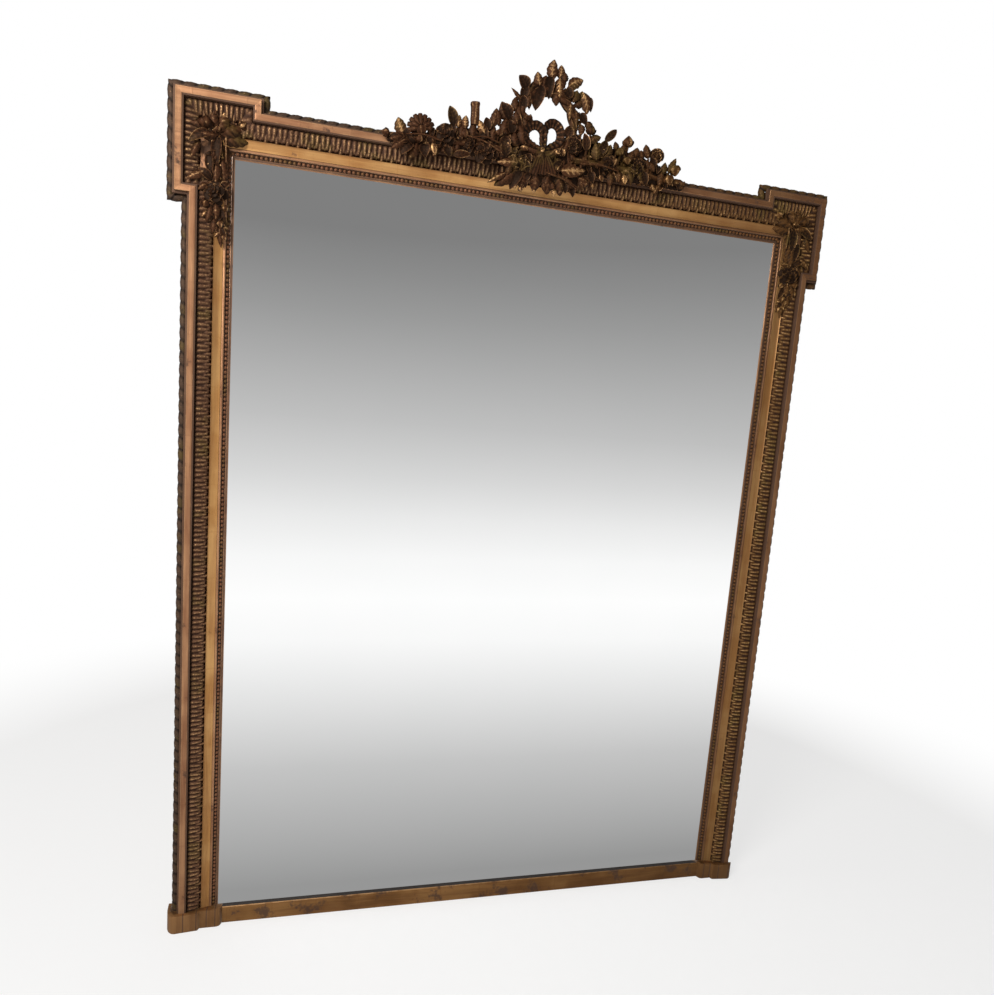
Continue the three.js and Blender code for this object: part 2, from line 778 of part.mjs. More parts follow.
function garland() {
  const place = ([outward, up]) => [-halfSight - outward, sightTop + up];
  const petal = (from, to, width) => leaf(place(from), place(to), width, garlandDepth);
  const head = (centre, radius) => bloom(place(centre), radius, garlandDepth);
  const bed = [
    [-4, 30], [4, 48], [30, 56], [54, 50], [48, 10], [54, -34], [48, -60], [50, -90],
    [38, -120], [24, -152], [12, -148], [6, -120], [2, -94], [4, -60], [4, -20], [8, 12],
  ].map((spot) => point(...place(spot)));
  const spine = [[26, 34], [26, -20], [29, -70], [25, -118], [19, -148]].map(place);
  const forms = [
    plate(seenFromFront, bed, bandOuterDepth, garlandBedThickness),
    stem(spine, stemRadius, garlandDepth - 2),
    petal([24, 22], [-27, 40], 34),
    petal([28, 36], [2, 61], 24),
    head([30, 40], 14),
    petal([34, 36], [64, 50], 22),
    head([27, 24], 13),
    petal([30, 24], [46, -2], 17),
    petal([15, 18], [9, -50], 26),
    petal([34, 10], [52, -42], 24),
    petal([36, -38], [80, -56], 22),
    petal([24, -40], [-2, -62], 18),
    head([29, -73], 26),
    head([8, -92], 11),
    petal([30, -84], [38, -130], 22),
    petal([22, -86], [14, -134], 24),
    petal([26, -112], [17, -161], 24),
  ];
  const seat = [
    box(-halfSight - 2 * edgeOuter, -bandOuterDepth - play, 0, halfSight, 0, earTop),
    sweep(edgeLine, depthBand(leafInner - play, edgeInner, leafOuterDepth), { datum: edgeOuter }),
    sweep(
      edgeLine,
      depthBand(edgeInner - play, edgeOuter + sideFilletWidth, edgeOuterDepth),
      { datum: edgeOuter },
    ),
  ];
  return shape(join(forms).subtract(join(seat)));
}

// A plain rectangular section over a band of mouldings, clear of them by the play.
function depthBand(inner, outer, depth) {
  return [[inner, 0], [outer, 0], [outer, depth + play], [inner, depth + play]];
}
addPair("corner_garland", garland(), "bronze");

// ---------------------------------------------------------------- glass and back

const glassHalf = rebateLeft - glassEdgeGap;
const glassOutline = rectangle(-glassHalf, rebateBottom + glassEdgeGap, glassHalf, rebateTop - glassEdgeGap);
add("mirror_plate", plate(seenFromFront, glassOutline, -glassThickness, glassThickness), "mirror");

// Triangular blocks, glued round the rebate, hold the plate from behind.
const blockFront = glassThickness + play;
const sideBlockOutline = [
  point(-rebateLeft + play, blockFront),
  point(-rebateLeft + play + blockSide, blockFront),
  point(-rebateLeft + play, blockFront + blockSide),
];
const sightMiddle = sillHeight + sightHeight / 2;
for (const [level, sign] of [["upper", 1], ["lower", -1]]) {
  const start = sightMiddle + (sign * blockSpread) / 2 - blockLength / 2;
  addPair(`glazing_block_${level}`, plate(seenFromAbove, sideBlockOutline, start, blockLength), "pine");
}

function railBlock(edge, inward) {
  const outline = [
    point(blockFront, edge + inward * play),
    point(blockFront + blockSide, edge + inward * play),
    point(blockFront, edge + inward * (play + blockSide)),
  ];
  return plate(seenFromLeft, outline, -blockLength / 2, blockLength);
}
add("glazing_block_top", railBlock(rebateTop, -1), "pine");
add("glazing_block_bottom", railBlock(rebateBottom, 1), "pine");

const boardsLeft = -rebateLeft - boardOverlap;
const boardWidth = (-2 * boardsLeft - (boardCount - 1) * boardGap) / boardCount;
for (let i = 0; i < boardCount; i++) {
  const left = boardsLeft + i * (boardWidth + boardGap);
  const outline = rectangle(left, boardFoot, left + boardWidth, rebateTop + boardOverlap);
  const start = -backPlane - boardThickness;
  add(`back_board_${i + 1}`, plate(seenFromFront, outline, start, boardThickness), "pine");
}

// ---------------------------------------------------------------- hangers

// A slotted round-head screw, driven forwards, its head bearing on the plane Y = 0.
function screw() {
  const outline = [
    point(0, -screwLength + screwRadius),
    point(screwRadius, -screwLength + 3 * screwRadius),
    point(screwRadius, play),
    point(screwHeadRadius, play),
    point(screwHeadRadius, play + screwHeadHeight / 2),
    point(screwHeadRadius / 2, play + screwHeadHeight),
    point(0, play + screwHeadHeight),
  ];
  const body = solid(new THREE.LatheGeometry(outline, 12));
  const cutFloor = play + screwHeadHeight / 2;
  const slot = box(
    -2 * screwHeadRadius, cutFloor, -screwSlot / 2, 2 * screwHeadRadius, 2 * screwHeadHeight, screwSlot / 2,
  );
  return shape(body.subtract(solid(slot)));
}

// The plate carries the ring's straight bar in a knuckle at its upper end, on the line Z = 0.
function hangerPlate() {
  const half = plateWidth / 2;
  const outline = [
    point(half, 0),
    ...arc(0, half - plateLength, half, half, 0, -180, 8),
    point(-half, 0),
  ].reverse();
  const knuckleHalf = ringHalfWidth - ringWire;
  const alongX = (radius, halfLength) =>
    new THREE.CylinderGeometry(radius, radius, 2 * halfLength, 16)
      .rotateZ(Math.PI / 2)
      .translate(0, knuckleRadius, 0);
  const body = join([
    plate(seenFromFront, outline, -plateThickness, plateThickness),
    alongX(knuckleRadius, knuckleHalf),
  ]);
  const holes = screwHeights.map((z) =>
    barAlongY(screwHoleRadius, 0, z - hangerHeight, -play, plateThickness + play),
  );
  const bore = alongX(ringWire / 2 + ringPlay, plateWidth);
  return shape(body.subtract(join([bore, ...holes])));
}

// A D-shaped ring hanging from its straight bar.
function hangingRing() {
  const line = [
    point(-ringHalfWidth, 0),
    ...arc(0, ringHalfWidth - ringDrop, ringHalfWidth, ringHalfWidth, -180, 0, 10),
    point(ringHalfWidth, 0),
  ];
  return sweep(line, roundSection(ringWire / 2, 0, 10), { closed: true });
}

const plateGeometry = hangerPlate();
const ringGeometry = hangingRing();
const screwGeometry = screw();
for (const [side, sign] of [["left", -1], ["right", 1]]) {
  const x = sign * hangerX;
  add(`hanger_plate_${side}`, plateGeometry, "brass").position.set(x, backPlane, hangerHeight);
  add(`hanging_ring_${side}`, ringGeometry, "brass").position.set(x, knuckleY, hangerHeight);
  screwHeights.forEach((z, i) => {
    const level = i === 0 ? "upper" : "lower";
    const place = [x, backPlane + plateThickness, z];
    add(`hanger_screw_${level}_${side}`, screwGeometry, "brass").position.set(...place);
  });
  const strapX = sign < 0 ? -strapLeft : strapRight;
  const place = [strapX, backPlane + strapThickness, strapScrewRise];
  add(`strap_screw_${side}`, screwGeometry, "iron").position.set(...place);
}

// The origin is the middle of the whole part's outline, at the bottom.
const bounds = new THREE.Box3().setFromObject(mirror);
const middle = bounds.getCenter(new THREE.Vector3());
mirror.position.set(-middle.x, -middle.y, -bounds.min.z);

export default mirror;
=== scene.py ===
"""A gilt and bronzed trumeau mirror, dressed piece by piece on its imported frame."""

import json
import random
from math import ceil, cos, pi, radians, sin, tau

import bmesh
import bpy
import numpy as np
from mathutils import Matrix, Vector

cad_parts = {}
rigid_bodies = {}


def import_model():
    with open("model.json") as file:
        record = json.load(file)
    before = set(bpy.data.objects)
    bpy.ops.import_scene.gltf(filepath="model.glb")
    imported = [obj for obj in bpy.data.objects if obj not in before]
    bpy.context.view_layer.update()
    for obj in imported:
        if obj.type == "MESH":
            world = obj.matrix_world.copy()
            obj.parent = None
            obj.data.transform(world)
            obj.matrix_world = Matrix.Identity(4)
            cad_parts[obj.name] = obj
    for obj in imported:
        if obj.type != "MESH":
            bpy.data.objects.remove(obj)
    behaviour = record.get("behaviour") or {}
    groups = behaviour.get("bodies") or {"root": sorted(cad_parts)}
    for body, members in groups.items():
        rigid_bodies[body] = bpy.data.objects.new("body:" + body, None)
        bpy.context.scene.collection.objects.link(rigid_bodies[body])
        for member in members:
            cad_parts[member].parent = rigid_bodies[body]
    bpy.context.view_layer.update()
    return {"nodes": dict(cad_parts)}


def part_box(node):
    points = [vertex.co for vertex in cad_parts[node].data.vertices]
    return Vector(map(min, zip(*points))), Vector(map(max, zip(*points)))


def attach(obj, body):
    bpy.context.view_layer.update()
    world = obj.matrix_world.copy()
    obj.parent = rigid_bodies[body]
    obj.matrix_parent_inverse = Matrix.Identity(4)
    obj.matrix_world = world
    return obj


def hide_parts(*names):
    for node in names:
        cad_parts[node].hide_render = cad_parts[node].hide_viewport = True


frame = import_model()

MM = 0.001
glass_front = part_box("mirror_plate")[0].y
# Where the camera stands.
eye = Vector((-0.4539, -1.39475, 1.0070))


# ---- nodes


def chosen(sockets, key):
    """The socket in use that has this name, or this place in the row."""
    used = [socket for socket in sockets if socket.enabled]
    return used[key] if isinstance(key, int) else next(s for s in used if s.name == key)


class Value:
    """A node's output, on which sums are written as Python expressions."""

    def __init__(self, tree, socket):
        self.tree = tree
        self.socket = socket

    def named(self, name):
        """Another output of the same node."""
        return Value(self.tree, chosen(self.socket.node.outputs, name))

    def math(self, operation, *terms):
        """A sum of the terms, or of this value where none are given, as vectors if one of them is a vector."""
        terms = terms or (self,)
        kinds = {term.socket.type for term in terms if isinstance(term, Value)}
        kind = "ShaderNodeVectorMath" if "VECTOR" in kinds else "ShaderNodeMath"
        return self.tree.node(kind, dict(enumerate(terms)), operation=operation)

    def __abs__(self):
        return self.math("ABSOLUTE")

    def at_least(self, other):
        return self.math("MAXIMUM", self, other)

    def part(self, axis):
        """One of a vector's three numbers."""
        return self.tree.node("ShaderNodeSeparateXYZ", {"Vector": self}).named(axis)


def both_ways(operation):
    """An operator's method with the Value on its left, and the one with the Value on its right."""
    return lambda own, other: own.math(operation, own, other), lambda own, other: own.math(operation, other, own)


OPERATORS = {"add": "ADD", "sub": "SUBTRACT", "mul": "MULTIPLY", "truediv": "DIVIDE", "pow": "POWER"}
for sign, operation in OPERATORS.items():
    on_left, on_right = both_ways(operation)
    setattr(Value, f"__{sign}__", on_left)
    setattr(Value, f"__r{sign}__", on_right)


class Tree:
    """Adds nodes to one shader or Geometry Nodes tree."""

    def __init__(self, nodes):
        self.nodes = nodes

    def node(self, kind, inputs=None, **settings):
        """Adds a node: its settings first, then numbers or links on its sockets, by name or place."""
        made = self.nodes.nodes.new(kind)
        for name, setting in settings.items():
            if name == "stops":
                self.set_stops(made.color_ramp, setting)
            else:
                setattr(made, name, setting)
        for key, value in (inputs or {}).items():
            socket = chosen(made.inputs, key)
            if isinstance(value, Value):
                self.nodes.links.new(value.socket, socket)
            else:
                socket.default_value = self.fitted(socket, value)
        outputs = [socket for socket in made.outputs if socket.enabled]
        return Value(self, outputs[0]) if outputs else made

    @staticmethod
    def set_stops(ramp, stops):
        while len(ramp.elements) < len(stops):
            ramp.elements.new(1.0)
        for element, (place, colour) in zip(ramp.elements, stops):
            element.position = place
            element.color = (*colour, 1.0)

    @staticmethod
    def fitted(socket, value):
        if socket.type in ("VECTOR", "RGBA") and isinstance(value, (int, float)):
            value = (value,) * 3
        return (*value, 1.0) if socket.type == "RGBA" and len(value) == 3 else value

    def noise(self, place, scale, detail, stretch=None, distortion=0.0):
        if stretch:
            place = self.node("ShaderNodeMapping", {"Vector": place, "Scale": stretch})
        sockets = {"Vector": place, "Scale": scale, "Detail": detail, "Distortion": distortion}
        return self.node("ShaderNodeTexNoise", sockets)

    def between(self, value, low, high):
        """0 at low and 1 at high, with a soft step from one to the other."""
        sockets = {"Value": value, "From Min": low, "From Max": high}
        return self.node("ShaderNodeMapRange", sockets, interpolation_type="SMOOTHSTEP")

    def mixed(self, share, first, second):
        return self.node("ShaderNodeMix", {"Factor": share, "A": first, "B": second}, data_type="RGBA")

    def layered(self, colour, *layers):
        """A colour under layers of paint, each given with the share of it that covers."""
        for share, layer in layers:
            colour = self.mixed(share, colour, layer)
        return colour

    def bump(self, height, distance, strength):
        return self.node("ShaderNodeBump", {"Height": height, "Distance": distance, "Strength": strength})

    def measure(self, name):
        """A number kept on the mesh's points, 0 where the mesh has none of that name."""
        return self.node("ShaderNodeAttribute", attribute_name=name).named("Fac")

    def mapped(self, value, stops):
        """A smooth run of greys or colours along a number."""
        return self.node("ShaderNodeValToRGB", {0: value}, stops=stops)


def emptied(owner):
    """The node tree of a new material or world, with nothing in it."""
    owner.use_nodes = True
    owner.node_tree.nodes.clear()
    return Tree(owner.node_tree)


# ---- finishes


def paint(red, green, blue):
    """A colour matched on a scale of 0 to 255, as the shader's linear numbers."""
    return tuple((c / 255 / 12.92) if c < 10 else ((c / 255 + 0.055) / 1.055) ** 2.4 for c in (red, green, blue))


def finish(name, recipe, **choices):
    """A material whose recipe gives the sockets of one Principled shader."""
    made = bpy.data.materials.new(name)
    tree = emptied(made)
    place = tree.node("ShaderNodeTexCoord").named("Object")
    surface = tree.node("ShaderNodeBsdfPrincipled", recipe(tree, place, **choices))
    tree.node("ShaderNodeOutputMaterial", {"Surface": surface})
    return made


def gilding(tree, place, run, light, deep, bole, stains=0.0, shine=0.0, quirks=()):
    """Gold leaf over clay: clouded, lapped and streaked along its run, worn at arrises and stained, with painted shade
    in its hollows and along given groove lines, a near-black painted shadow in its deepest hollows, and painted shade
    towards the right.
    """
    stretch = (1, 1, 0.05) if run == "Z" else (0.05, 1, 1)
    clouds = tree.between(tree.noise(place, 13, 3), 0.36, 0.64)
    bands = tree.between(tree.noise(place, 110, 4, stretch, 0.6), 0.36, 0.66)
    streaks = tree.between(tree.noise(place, 420, 5, stretch), 0.42, 0.7)
    speckle = tree.between(tree.noise(place, 620, 3), 0.6, 0.74)
    laps = tree.between(abs((place.part(run) * 11.5).math("FRACT") - 0.5), 0.475, 0.495)
    worn = tree.between(tree.measure("wear") * 0.62 + tree.noise(place, 75, 5) * 0.9, 0.86, 1.1)
    stained = tree.between(tree.noise(place, 26, 6) + tree.noise(place, 160, 4) * 0.35, 0.86 - stains, 0.98 - stains)
    # Real stains plus painted shade: darker in hollows by the hollow measure, and dark lines of painted shade at given
    # groove places.
    dirt_and_shade = tree.between(tree.measure("hollow") + tree.noise(place, 50, 4) * 0.7, 0.75, 1.15).at_least(stained)
    for groove_line in quirks:
        dirt_and_shade = dirt_and_shade.at_least(tree.between(abs(abs(place.part("X")) - groove_line), 0.0015, 0.0005))
    colour = tree.layered(
        tree.mixed(clouds, light, deep), (bands * 0.5, bole), (streaks * 0.3, light), (laps * 0.35, deep),
        (speckle * 0.3, paint(74, 46, 28)), (worn * 0.55, paint(214, 170, 122)),
        # Painted shade: darker towards the right, where the lamp's light falls off. Then real stains with painted shade
        # in hollows and grooves.
        (tree.between(place.part("X"), -0.1, 0.62) * 0.62, paint(88, 54, 14)), (dirt_and_shade * 0.85, paint(68, 45, 31)),
        # Painted shadow: near-black where the hollow measure passes 1.2, which is the base rail's slope down to the
        # glass.
        (tree.between(tree.measure("hollow"), 1.2, 1.8) * 0.9, paint(24, 16, 12)),
    )
    relief = tree.noise(place, 900, 3) * 0.35 + streaks * 0.3 + laps * 0.4 + tree.noise(place, 60, 3) * 0.8
    return {
        "Base Color": colour,
        "Metallic": 0.62 - dirt_and_shade * 0.5,
        "Roughness": 0.44 - shine + clouds * 0.08 + streaks * 0.06 + dirt_and_shade * 0.25,
        "Normal": tree.bump(relief - dirt_and_shade * 0.6, 0.0004, 0.5),
    }


def bronzing(tree, place, gold, brown, dark, bared_at=0.52, rubbed_at=1.02):
    """Dark bronze powder over gilding: bare brown where it stands out, rubbed to gold where it stands out most."""
    mottle = tree.noise(place, 48, 5)
    fine = tree.noise(place, 380, 4)
    proud = tree.measure("relief") * 0.82 + tree.measure("gilt") * 0.42 + mottle * 0.3 + fine * 0.55 - 0.08
    bared = tree.between(proud, bared_at, bared_at + 0.5)
    rubbed = tree.between(proud, rubbed_at, rubbed_at + 0.42)
    green = tree.between(tree.noise(place, 21, 3), 0.5, 0.66)
    # Towards the right, the rubbed gold turns deeper and olive and the bared brown warmer.
    rightward = tree.between(place.part("X"), -0.05, 0.5)
    deep_gold = tree.mixed(rightward, gold, paint(172, 134, 56))
    colour = tree.layered(
        dark, (bared, tree.mixed(rightward * 0.6, brown, paint(92, 62, 26))), (green * bared * 0.6, paint(86, 72, 34)),
        (tree.between(tree.noise(place, 170, 3), 0.56, 0.7) * 0.6, dark),
        (rubbed, tree.mixed(tree.between(fine, 0.35, 0.65), deep_gold, paint(224, 176, 124))),
    )
    height = fine * 0.6 + tree.noise(place, 1300, 2) * 0.25 + mottle * 0.5
    return {
        "Base Color": colour,
        "Metallic": 0.12 + rubbed * 0.5,
        "Roughness": 0.54 - rubbed * 0.18 - bared * 0.04 + fine * 0.1,
        "Specular IOR Level": 0.22,
        "Specular Tint": (1.0, 0.7, 0.5, 1.0),
        "Normal": tree.bump(height, 0.0005, 0.55),
    }


def softwood(tree, place, run, pale, dark):
    """Aged bare pine: growth rings and fibres along the run, a few knots, soot and finger marks."""
    stretch = (1, 1, 0.045) if run == "Z" else (0.045, 1, 1)
    rings = (tree.noise(place, 34, 2, stretch, 0.5) * 14.0).math("FRACT")
    late = tree.between(rings, 0.55, 0.95)
    fibres = tree.noise(place, 900, 3, stretch)
    knots = tree.node("ShaderNodeTexVoronoi", {"Vector": place, "Scale": 3.4})
    knot = tree.between(knots, 0.055, 0.03)
    dirt = tree.between(tree.noise(place, 7, 5) + tree.noise(place, 90, 4) * 0.3, 0.6, 0.86)
    return {
        "Base Color": tree.layered(
            pale, (late * 0.55, dark), (tree.between(fibres, 0.4, 0.7) * 0.3, dark), (knot * 0.8, paint(78, 48, 28)),
            (dirt * 0.28, paint(84, 66, 50)),
        ),
        "Roughness": 0.72 + fibres * 0.18,
        "Normal": tree.bump(fibres * 0.5 + late * 0.4, 0.0006, 0.6),
    }


def silvering(tree, place):
    """Silvered plate glass, bright in front and at its edges, with a painted back."""
    depth = place.part("Y")
    back = tree.between(depth, glass_front + 0.0028, glass_front + 0.0034)
    bloom = tree.noise(place, 5, 3)
    wiped = tree.noise(place, 18, 4, (1, 1, 0.2), 1.2)
    silver = tree.mixed(tree.between(bloom, 0.3, 0.7), (0.99, 0.992, 0.99), (0.98, 0.985, 0.982))
    painted = tree.mixed(tree.between(tree.noise(place, 60, 5), 0.4, 0.65), paint(92, 66, 54), paint(70, 52, 46))
    return {
        "Base Color": tree.mixed(back, silver, painted),
        "Metallic": 1.0 - back,
        "Roughness": 0.006 + wiped * 0.012 + back * 0.6,
    }


def metal(tree, place, bright, dull, shine, rust):
    """Old strap iron or brass: dull film, brighter where it is handled, specks of corrosion."""
    film = tree.between(tree.noise(place, 70, 5), 0.38, 0.66)
    pits = tree.between(tree.noise(place, 620, 3), 0.58, 0.72)
    spots = tree.between(tree.noise(place, 210, 4), 0.6, 0.7)
    return {
        "Base Color": tree.layered(bright, (film, dull), (pits * 0.4, paint(40, 34, 28)), (spots * 0.7, rust)),
        "Metallic": 0.95 - spots * 0.6,
        "Roughness": shine + film * 0.2 + spots * 0.25,
        "Normal": tree.bump(pits * -0.5 + film * 0.3, 0.0002, 0.6),
    }


GOLD = {"light": paint(216, 166, 104), "deep": paint(190, 136, 76), "bole": paint(154, 100, 58)}
COPPER = {"light": paint(192, 143, 103), "deep": paint(160, 112, 78), "bole": paint(128, 82, 56)}
BASE = {"light": paint(166, 120, 70), "deep": paint(132, 90, 46), "bole": paint(104, 64, 34)}
FOOT = {"light": paint(164, 120, 76), "deep": paint(136, 96, 56), "bole": paint(110, 72, 42)}
BRONZE = {"gold": paint(212, 162, 106), "brown": paint(72, 43, 26), "dark": paint(24, 11, 5)}
PINE = {"pale": paint(206, 174, 128), "dark": paint(166, 122, 76)}
# Distances from the middle, in metres, at which dark lines of painted shade mark the feet's grooves.
FOOT_GROOVE_SHADE_LINES = (0.543, 0.559, 0.5775, 0.6015)
finishes = {
    "base_level": finish("base gilt", gilding, run="X", stains=0.13, **BASE),
    "base_upright": finish("foot gilt", gilding, run="Z", stains=0.06, quirks=FOOT_GROOVE_SHADE_LINES, **FOOT),
    "panel": finish("ear panel", gilding, run="Z", stains=0.24, **COPPER),
    "bronze": finish("bronzed carving", bronzing, **BRONZE),
    "bronze_leaf": finish(
        "bronzed leaf moulding", bronzing, gold=paint(168, 130, 96), brown=paint(96, 67, 49), dark=paint(54, 35, 27),
        bared_at=0.38, rubbed_at=0.98,
    ),
    "bronze_bead": finish(
        "bronzed beads", bronzing, gold=paint(170, 120, 80), brown=paint(120, 80, 58), dark=paint(58, 38, 30),
        rubbed_at=1.2,
    ),
    "bronze_rope": finish(
        "bronzed rope", bronzing, gold=paint(124, 100, 80), brown=paint(72, 56, 46), dark=paint(32, 26, 24),
        bared_at=0.5, rubbed_at=1.12,
    ),
    "silver": finish("silvered glass", silvering),
    "iron": finish(
        "strap iron", metal, bright=paint(104, 100, 96), dull=paint(62, 58, 56), shine=0.42, rust=paint(98, 58, 38)
    ),
    "brass": finish(
        "hanger brass", metal, bright=paint(206, 172, 96), dull=paint(150, 118, 62), shine=0.3, rust=paint(86, 74, 48)
    ),
}
for way, run in (("upright", "Z"), ("level", "X")):
    finishes[f"gilt_{way}"] = finish(f"gilt {way}", gilding, run=run, shine=0.04, **GOLD)
    finishes[f"copper_{way}"] = finish(f"copper gilt {way}", gilding, run=run, stains=0.06, **COPPER)
    finishes[f"pine_{way}"] = finish(f"pine {way}", softwood, run=run, **PINE)


# ---- skins and pieces


def added(name, data):
    """A new object of this data in the scene."""
    thing = bpy.data.objects.new(name, data)
    bpy.context.scene.collection.objects.link(thing)
    return thing


def placed(points):
    """Points given in millimetres as (x, forward of the glass, height), in metres in the frame."""
    points = np.asarray(points, float).reshape(-1, 3)
    return np.column_stack([points[:, 0] * MM, glass_front - points[:, 1] * MM, points[:, 2] * MM])


def skin(rings, **measures):
    """Rings of points joined into one closed skin. A measure is a number, or one for each ring or point."""
    rings = np.asarray(rings, float)
    rows, around = rings.shape[:2]
    row = np.arange(rows - 1)[:, None] * around
    here = np.arange(around)
    there = (here + 1) % around
    quads = np.stack([row + here, row + there, row + around + there, row + around + here], -1).reshape(-1, 4)
    first, last = rows * around, rows * around + 1
    near = np.column_stack([np.full(around, first), there, here])
    far = np.column_stack([np.full(around, last), (rows - 1) * around + here, (rows - 1) * around + there])
    points = np.concatenate([rings.reshape(-1, 3), [rings[0].mean(0)], [rings[-1].mean(0)]])
    spread = {}
    for name, measure in measures.items():
        measure = np.asarray(measure, float)
        measure = measure[:, None] if measure.ndim == 1 else measure
        measure = np.broadcast_to(measure, (rows, around) + measure.shape[2:])
        flat = measure.reshape((rows * around,) + measure.shape[2:])
        spread[name] = np.concatenate([flat, measure[:1].mean(1), measure[-1:].mean(1)])
    return {"points": points, "quads": quads, "triangles": np.concatenate([near, far]), "measures": spread}


def mesh_of(name, forms):
    """One mesh of many skins, each turned to face outwards."""
    corners, faces, names, start = [], [], set(), 0
    for form in forms:
        points = placed(form["points"])
        quads, triangles = form["quads"], form["triangles"]
        flat = np.concatenate([triangles, quads[:, :3], quads[:, [0, 2, 3]]])
        a, b, c = (points - points.mean(0))[flat].transpose(1, 0, 2)
        if np.einsum("ij,ij->i", a, np.cross(b, c)).sum() < 0:
            quads, triangles = quads[:, ::-1], triangles[:, ::-1]
        corners.append(points)
        faces += (quads + start).tolist() + (triangles + start).tolist()
        names.update(form["measures"])
        start += len(points)
    mesh = bpy.data.meshes.new(name)
    mesh.from_pydata(np.concatenate(corners).tolist(), [], faces)
    for measure in sorted(names):
        values = np.concatenate([form["measures"].get(measure, np.zeros(len(form["points"]))) for form in forms])
        kind, field = ("FLOAT_VECTOR", "vector") if values.ndim == 2 else ("FLOAT", "value")
        values = values * (1, -1, 1) if values.ndim == 2 else values
        mesh.attributes.new(measure, kind, "POINT").data.foreach_set(field, values.astype(np.float32).ravel())
    return mesh


def dress(name, mesh, material, replaces=(), body="frame", sharp=38):
    """Makes a finished mesh a piece that rides on a body and stands for its CAD nodes."""
    if material:
        mesh.materials.clear()
        mesh.materials.append(finishes[material])
    mesh.shade_smooth()
    mesh.set_sharp_from_angle(angle=radians(sharp))
    thing = added(name, mesh)
    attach(thing, body)
    if replaces:
        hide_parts(*replaces)


def baked(mesh, set_up):
    """The plain mesh that a modifier, added and set by set_up, makes of this one."""
    thing = added("work", mesh)
    set_up(thing)
    evaluated = thing.evaluated_get(bpy.context.evaluated_depsgraph_get())
    made = bpy.data.meshes.new_from_object(evaluated)
    bpy.data.objects.remove(thing)
    return made


def soften(node, width, material, segments=2, body="frame"):
    """A piece from a CAD node, with its facets merged and its arrises rounded over."""
    shell = bmesh.new()
    shell.from_mesh(frame["nodes"][node].data)
    bmesh.ops.remove_doubles(shell, verts=shell.verts, dist=1e-6)
    bmesh.ops.dissolve_limit(shell, angle_limit=radians(1), verts=shell.verts, edges=shell.edges)
    mesh = bpy.data.meshes.new(node)
    shell.to_mesh(mesh)
    shell.free()

    def round_arrises(thing):
        bevel = thing.modifiers.new("arris", "BEVEL")
        bevel.width = width * MM
        bevel.segments = segments
        bevel.limit_method = "ANGLE"
        bevel.angle_limit = radians(28)

    dress(node + "_finished", baked(mesh, round_arrises), material, [node], body)


# ---- Geometry Nodes


def grown(mesh, name, sizes, build):
    """Runs a mesh through a Geometry Nodes tree that build makes, with named inputs set to sizes."""
    group = bpy.data.node_groups.new(name, "GeometryNodeTree")
    group.interface.new_socket("Geometry", in_out="OUTPUT", socket_type="NodeSocketGeometry")
    group.interface.new_socket("Geometry", in_out="INPUT", socket_type="NodeSocketGeometry")
    kinds = {float: "NodeSocketFloat", int: "NodeSocketInt"}
    for label, size in sizes.items():
        kind = kinds.get(type(size), "NodeSocketMaterial")
        group.interface.new_socket(label, in_out="INPUT", socket_type=kind)
    tree = Tree(group)
    entry = tree.node("NodeGroupInput")
    shaped = build(tree, entry, {label: entry.named(label) for label in sizes})
    whole = tree.node("GeometryNodeRealizeInstances", {"Geometry": shaped})
    coated = tree.node("GeometryNodeSetMaterial", {"Geometry": whole, "Material": entry.named("Finish")})
    tree.node("NodeGroupOutput", {"Geometry": coated})

    def set_up(thing):
        modifier = thing.modifiers.new(name, "NODES")
        modifier.node_group = group
        for item in group.interface.items_tree:
            if item.in_out == "INPUT" and item.name in sizes:
                modifier[item.identifier] = sizes[item.name]

    return baked(mesh, set_up)


def carried(tree, name, kind="FLOAT"):
    """A measure that the points of a skin carry."""
    return tree.node("GeometryNodeInputNamedAttribute", {"Name": name}, data_type=kind)


def raise_pattern(pattern):
    """A tree that lifts a skin along its push by a pattern of how far along and across it a point is."""

    def build(tree, entry, sizes):
        raised = pattern(tree, carried(tree, "along"), carried(tree, "across"))
        lift = carried(tree, "push", "FLOAT_VECTOR") * (raised * carried(tree, "carved") * sizes["Height"])
        moved = tree.node("GeometryNodeSetPosition", {"Geometry": entry, "Offset": lift})
        sockets = {"Geometry": moved, "Name": "relief", "Value": raised}
        return tree.node("GeometryNodeStoreNamedAttribute", sockets, data_type="FLOAT")

    return build


def domed(gap):
    """1 at the middle of a form, falling round to 0 at a gap of 1 from it."""
    return (1.0 - gap * gap).at_least(0.0)


def leaf_and_dart(tree, along, across):
    """Two-lobed leaves hang from the outer edge, one to a unit, with a dart between their tips."""
    off = abs(along.math("FRACT") - 0.5) * 2.0
    rib = domed((off - (0.5 - across * 0.2)) / (0.42 - across * 0.2))
    rib = rib * tree.between(across, 0.82, 0.6) * tree.between(across, -0.04, 0.1)
    dart = domed((1.0 - off) / (0.1 + across * 0.34))
    dart = dart * tree.between(across, 0.34, 0.56) * tree.between(across, 1.02, 0.9)
    tip_gap = off / (1.02 - across)
    tip = (1.0 - tip_gap * tip_gap * 4.0).at_least(0.0) * tree.between(across, 0.5, 0.72) * 0.8
    pearl_gap = (1.0 - off) / 0.3
    pearl_rise = (across - 0.8) / 0.16
    pearl = (1.0 - pearl_gap * pearl_gap - pearl_rise * pearl_rise).at_least(0.0)
    return rib.at_least(dart).at_least(tip).at_least(pearl) ** 0.7


def twist(tree, along, across):
    """Two broad ribbons wound round a rod, each with three fine cords."""
    turn = along + across
    broad = abs((turn * pi).math("SINE"))
    cords = abs((turn * pi * 3.0).math("SINE"))
    return broad ** 0.7 * 0.82 + cords * 0.18


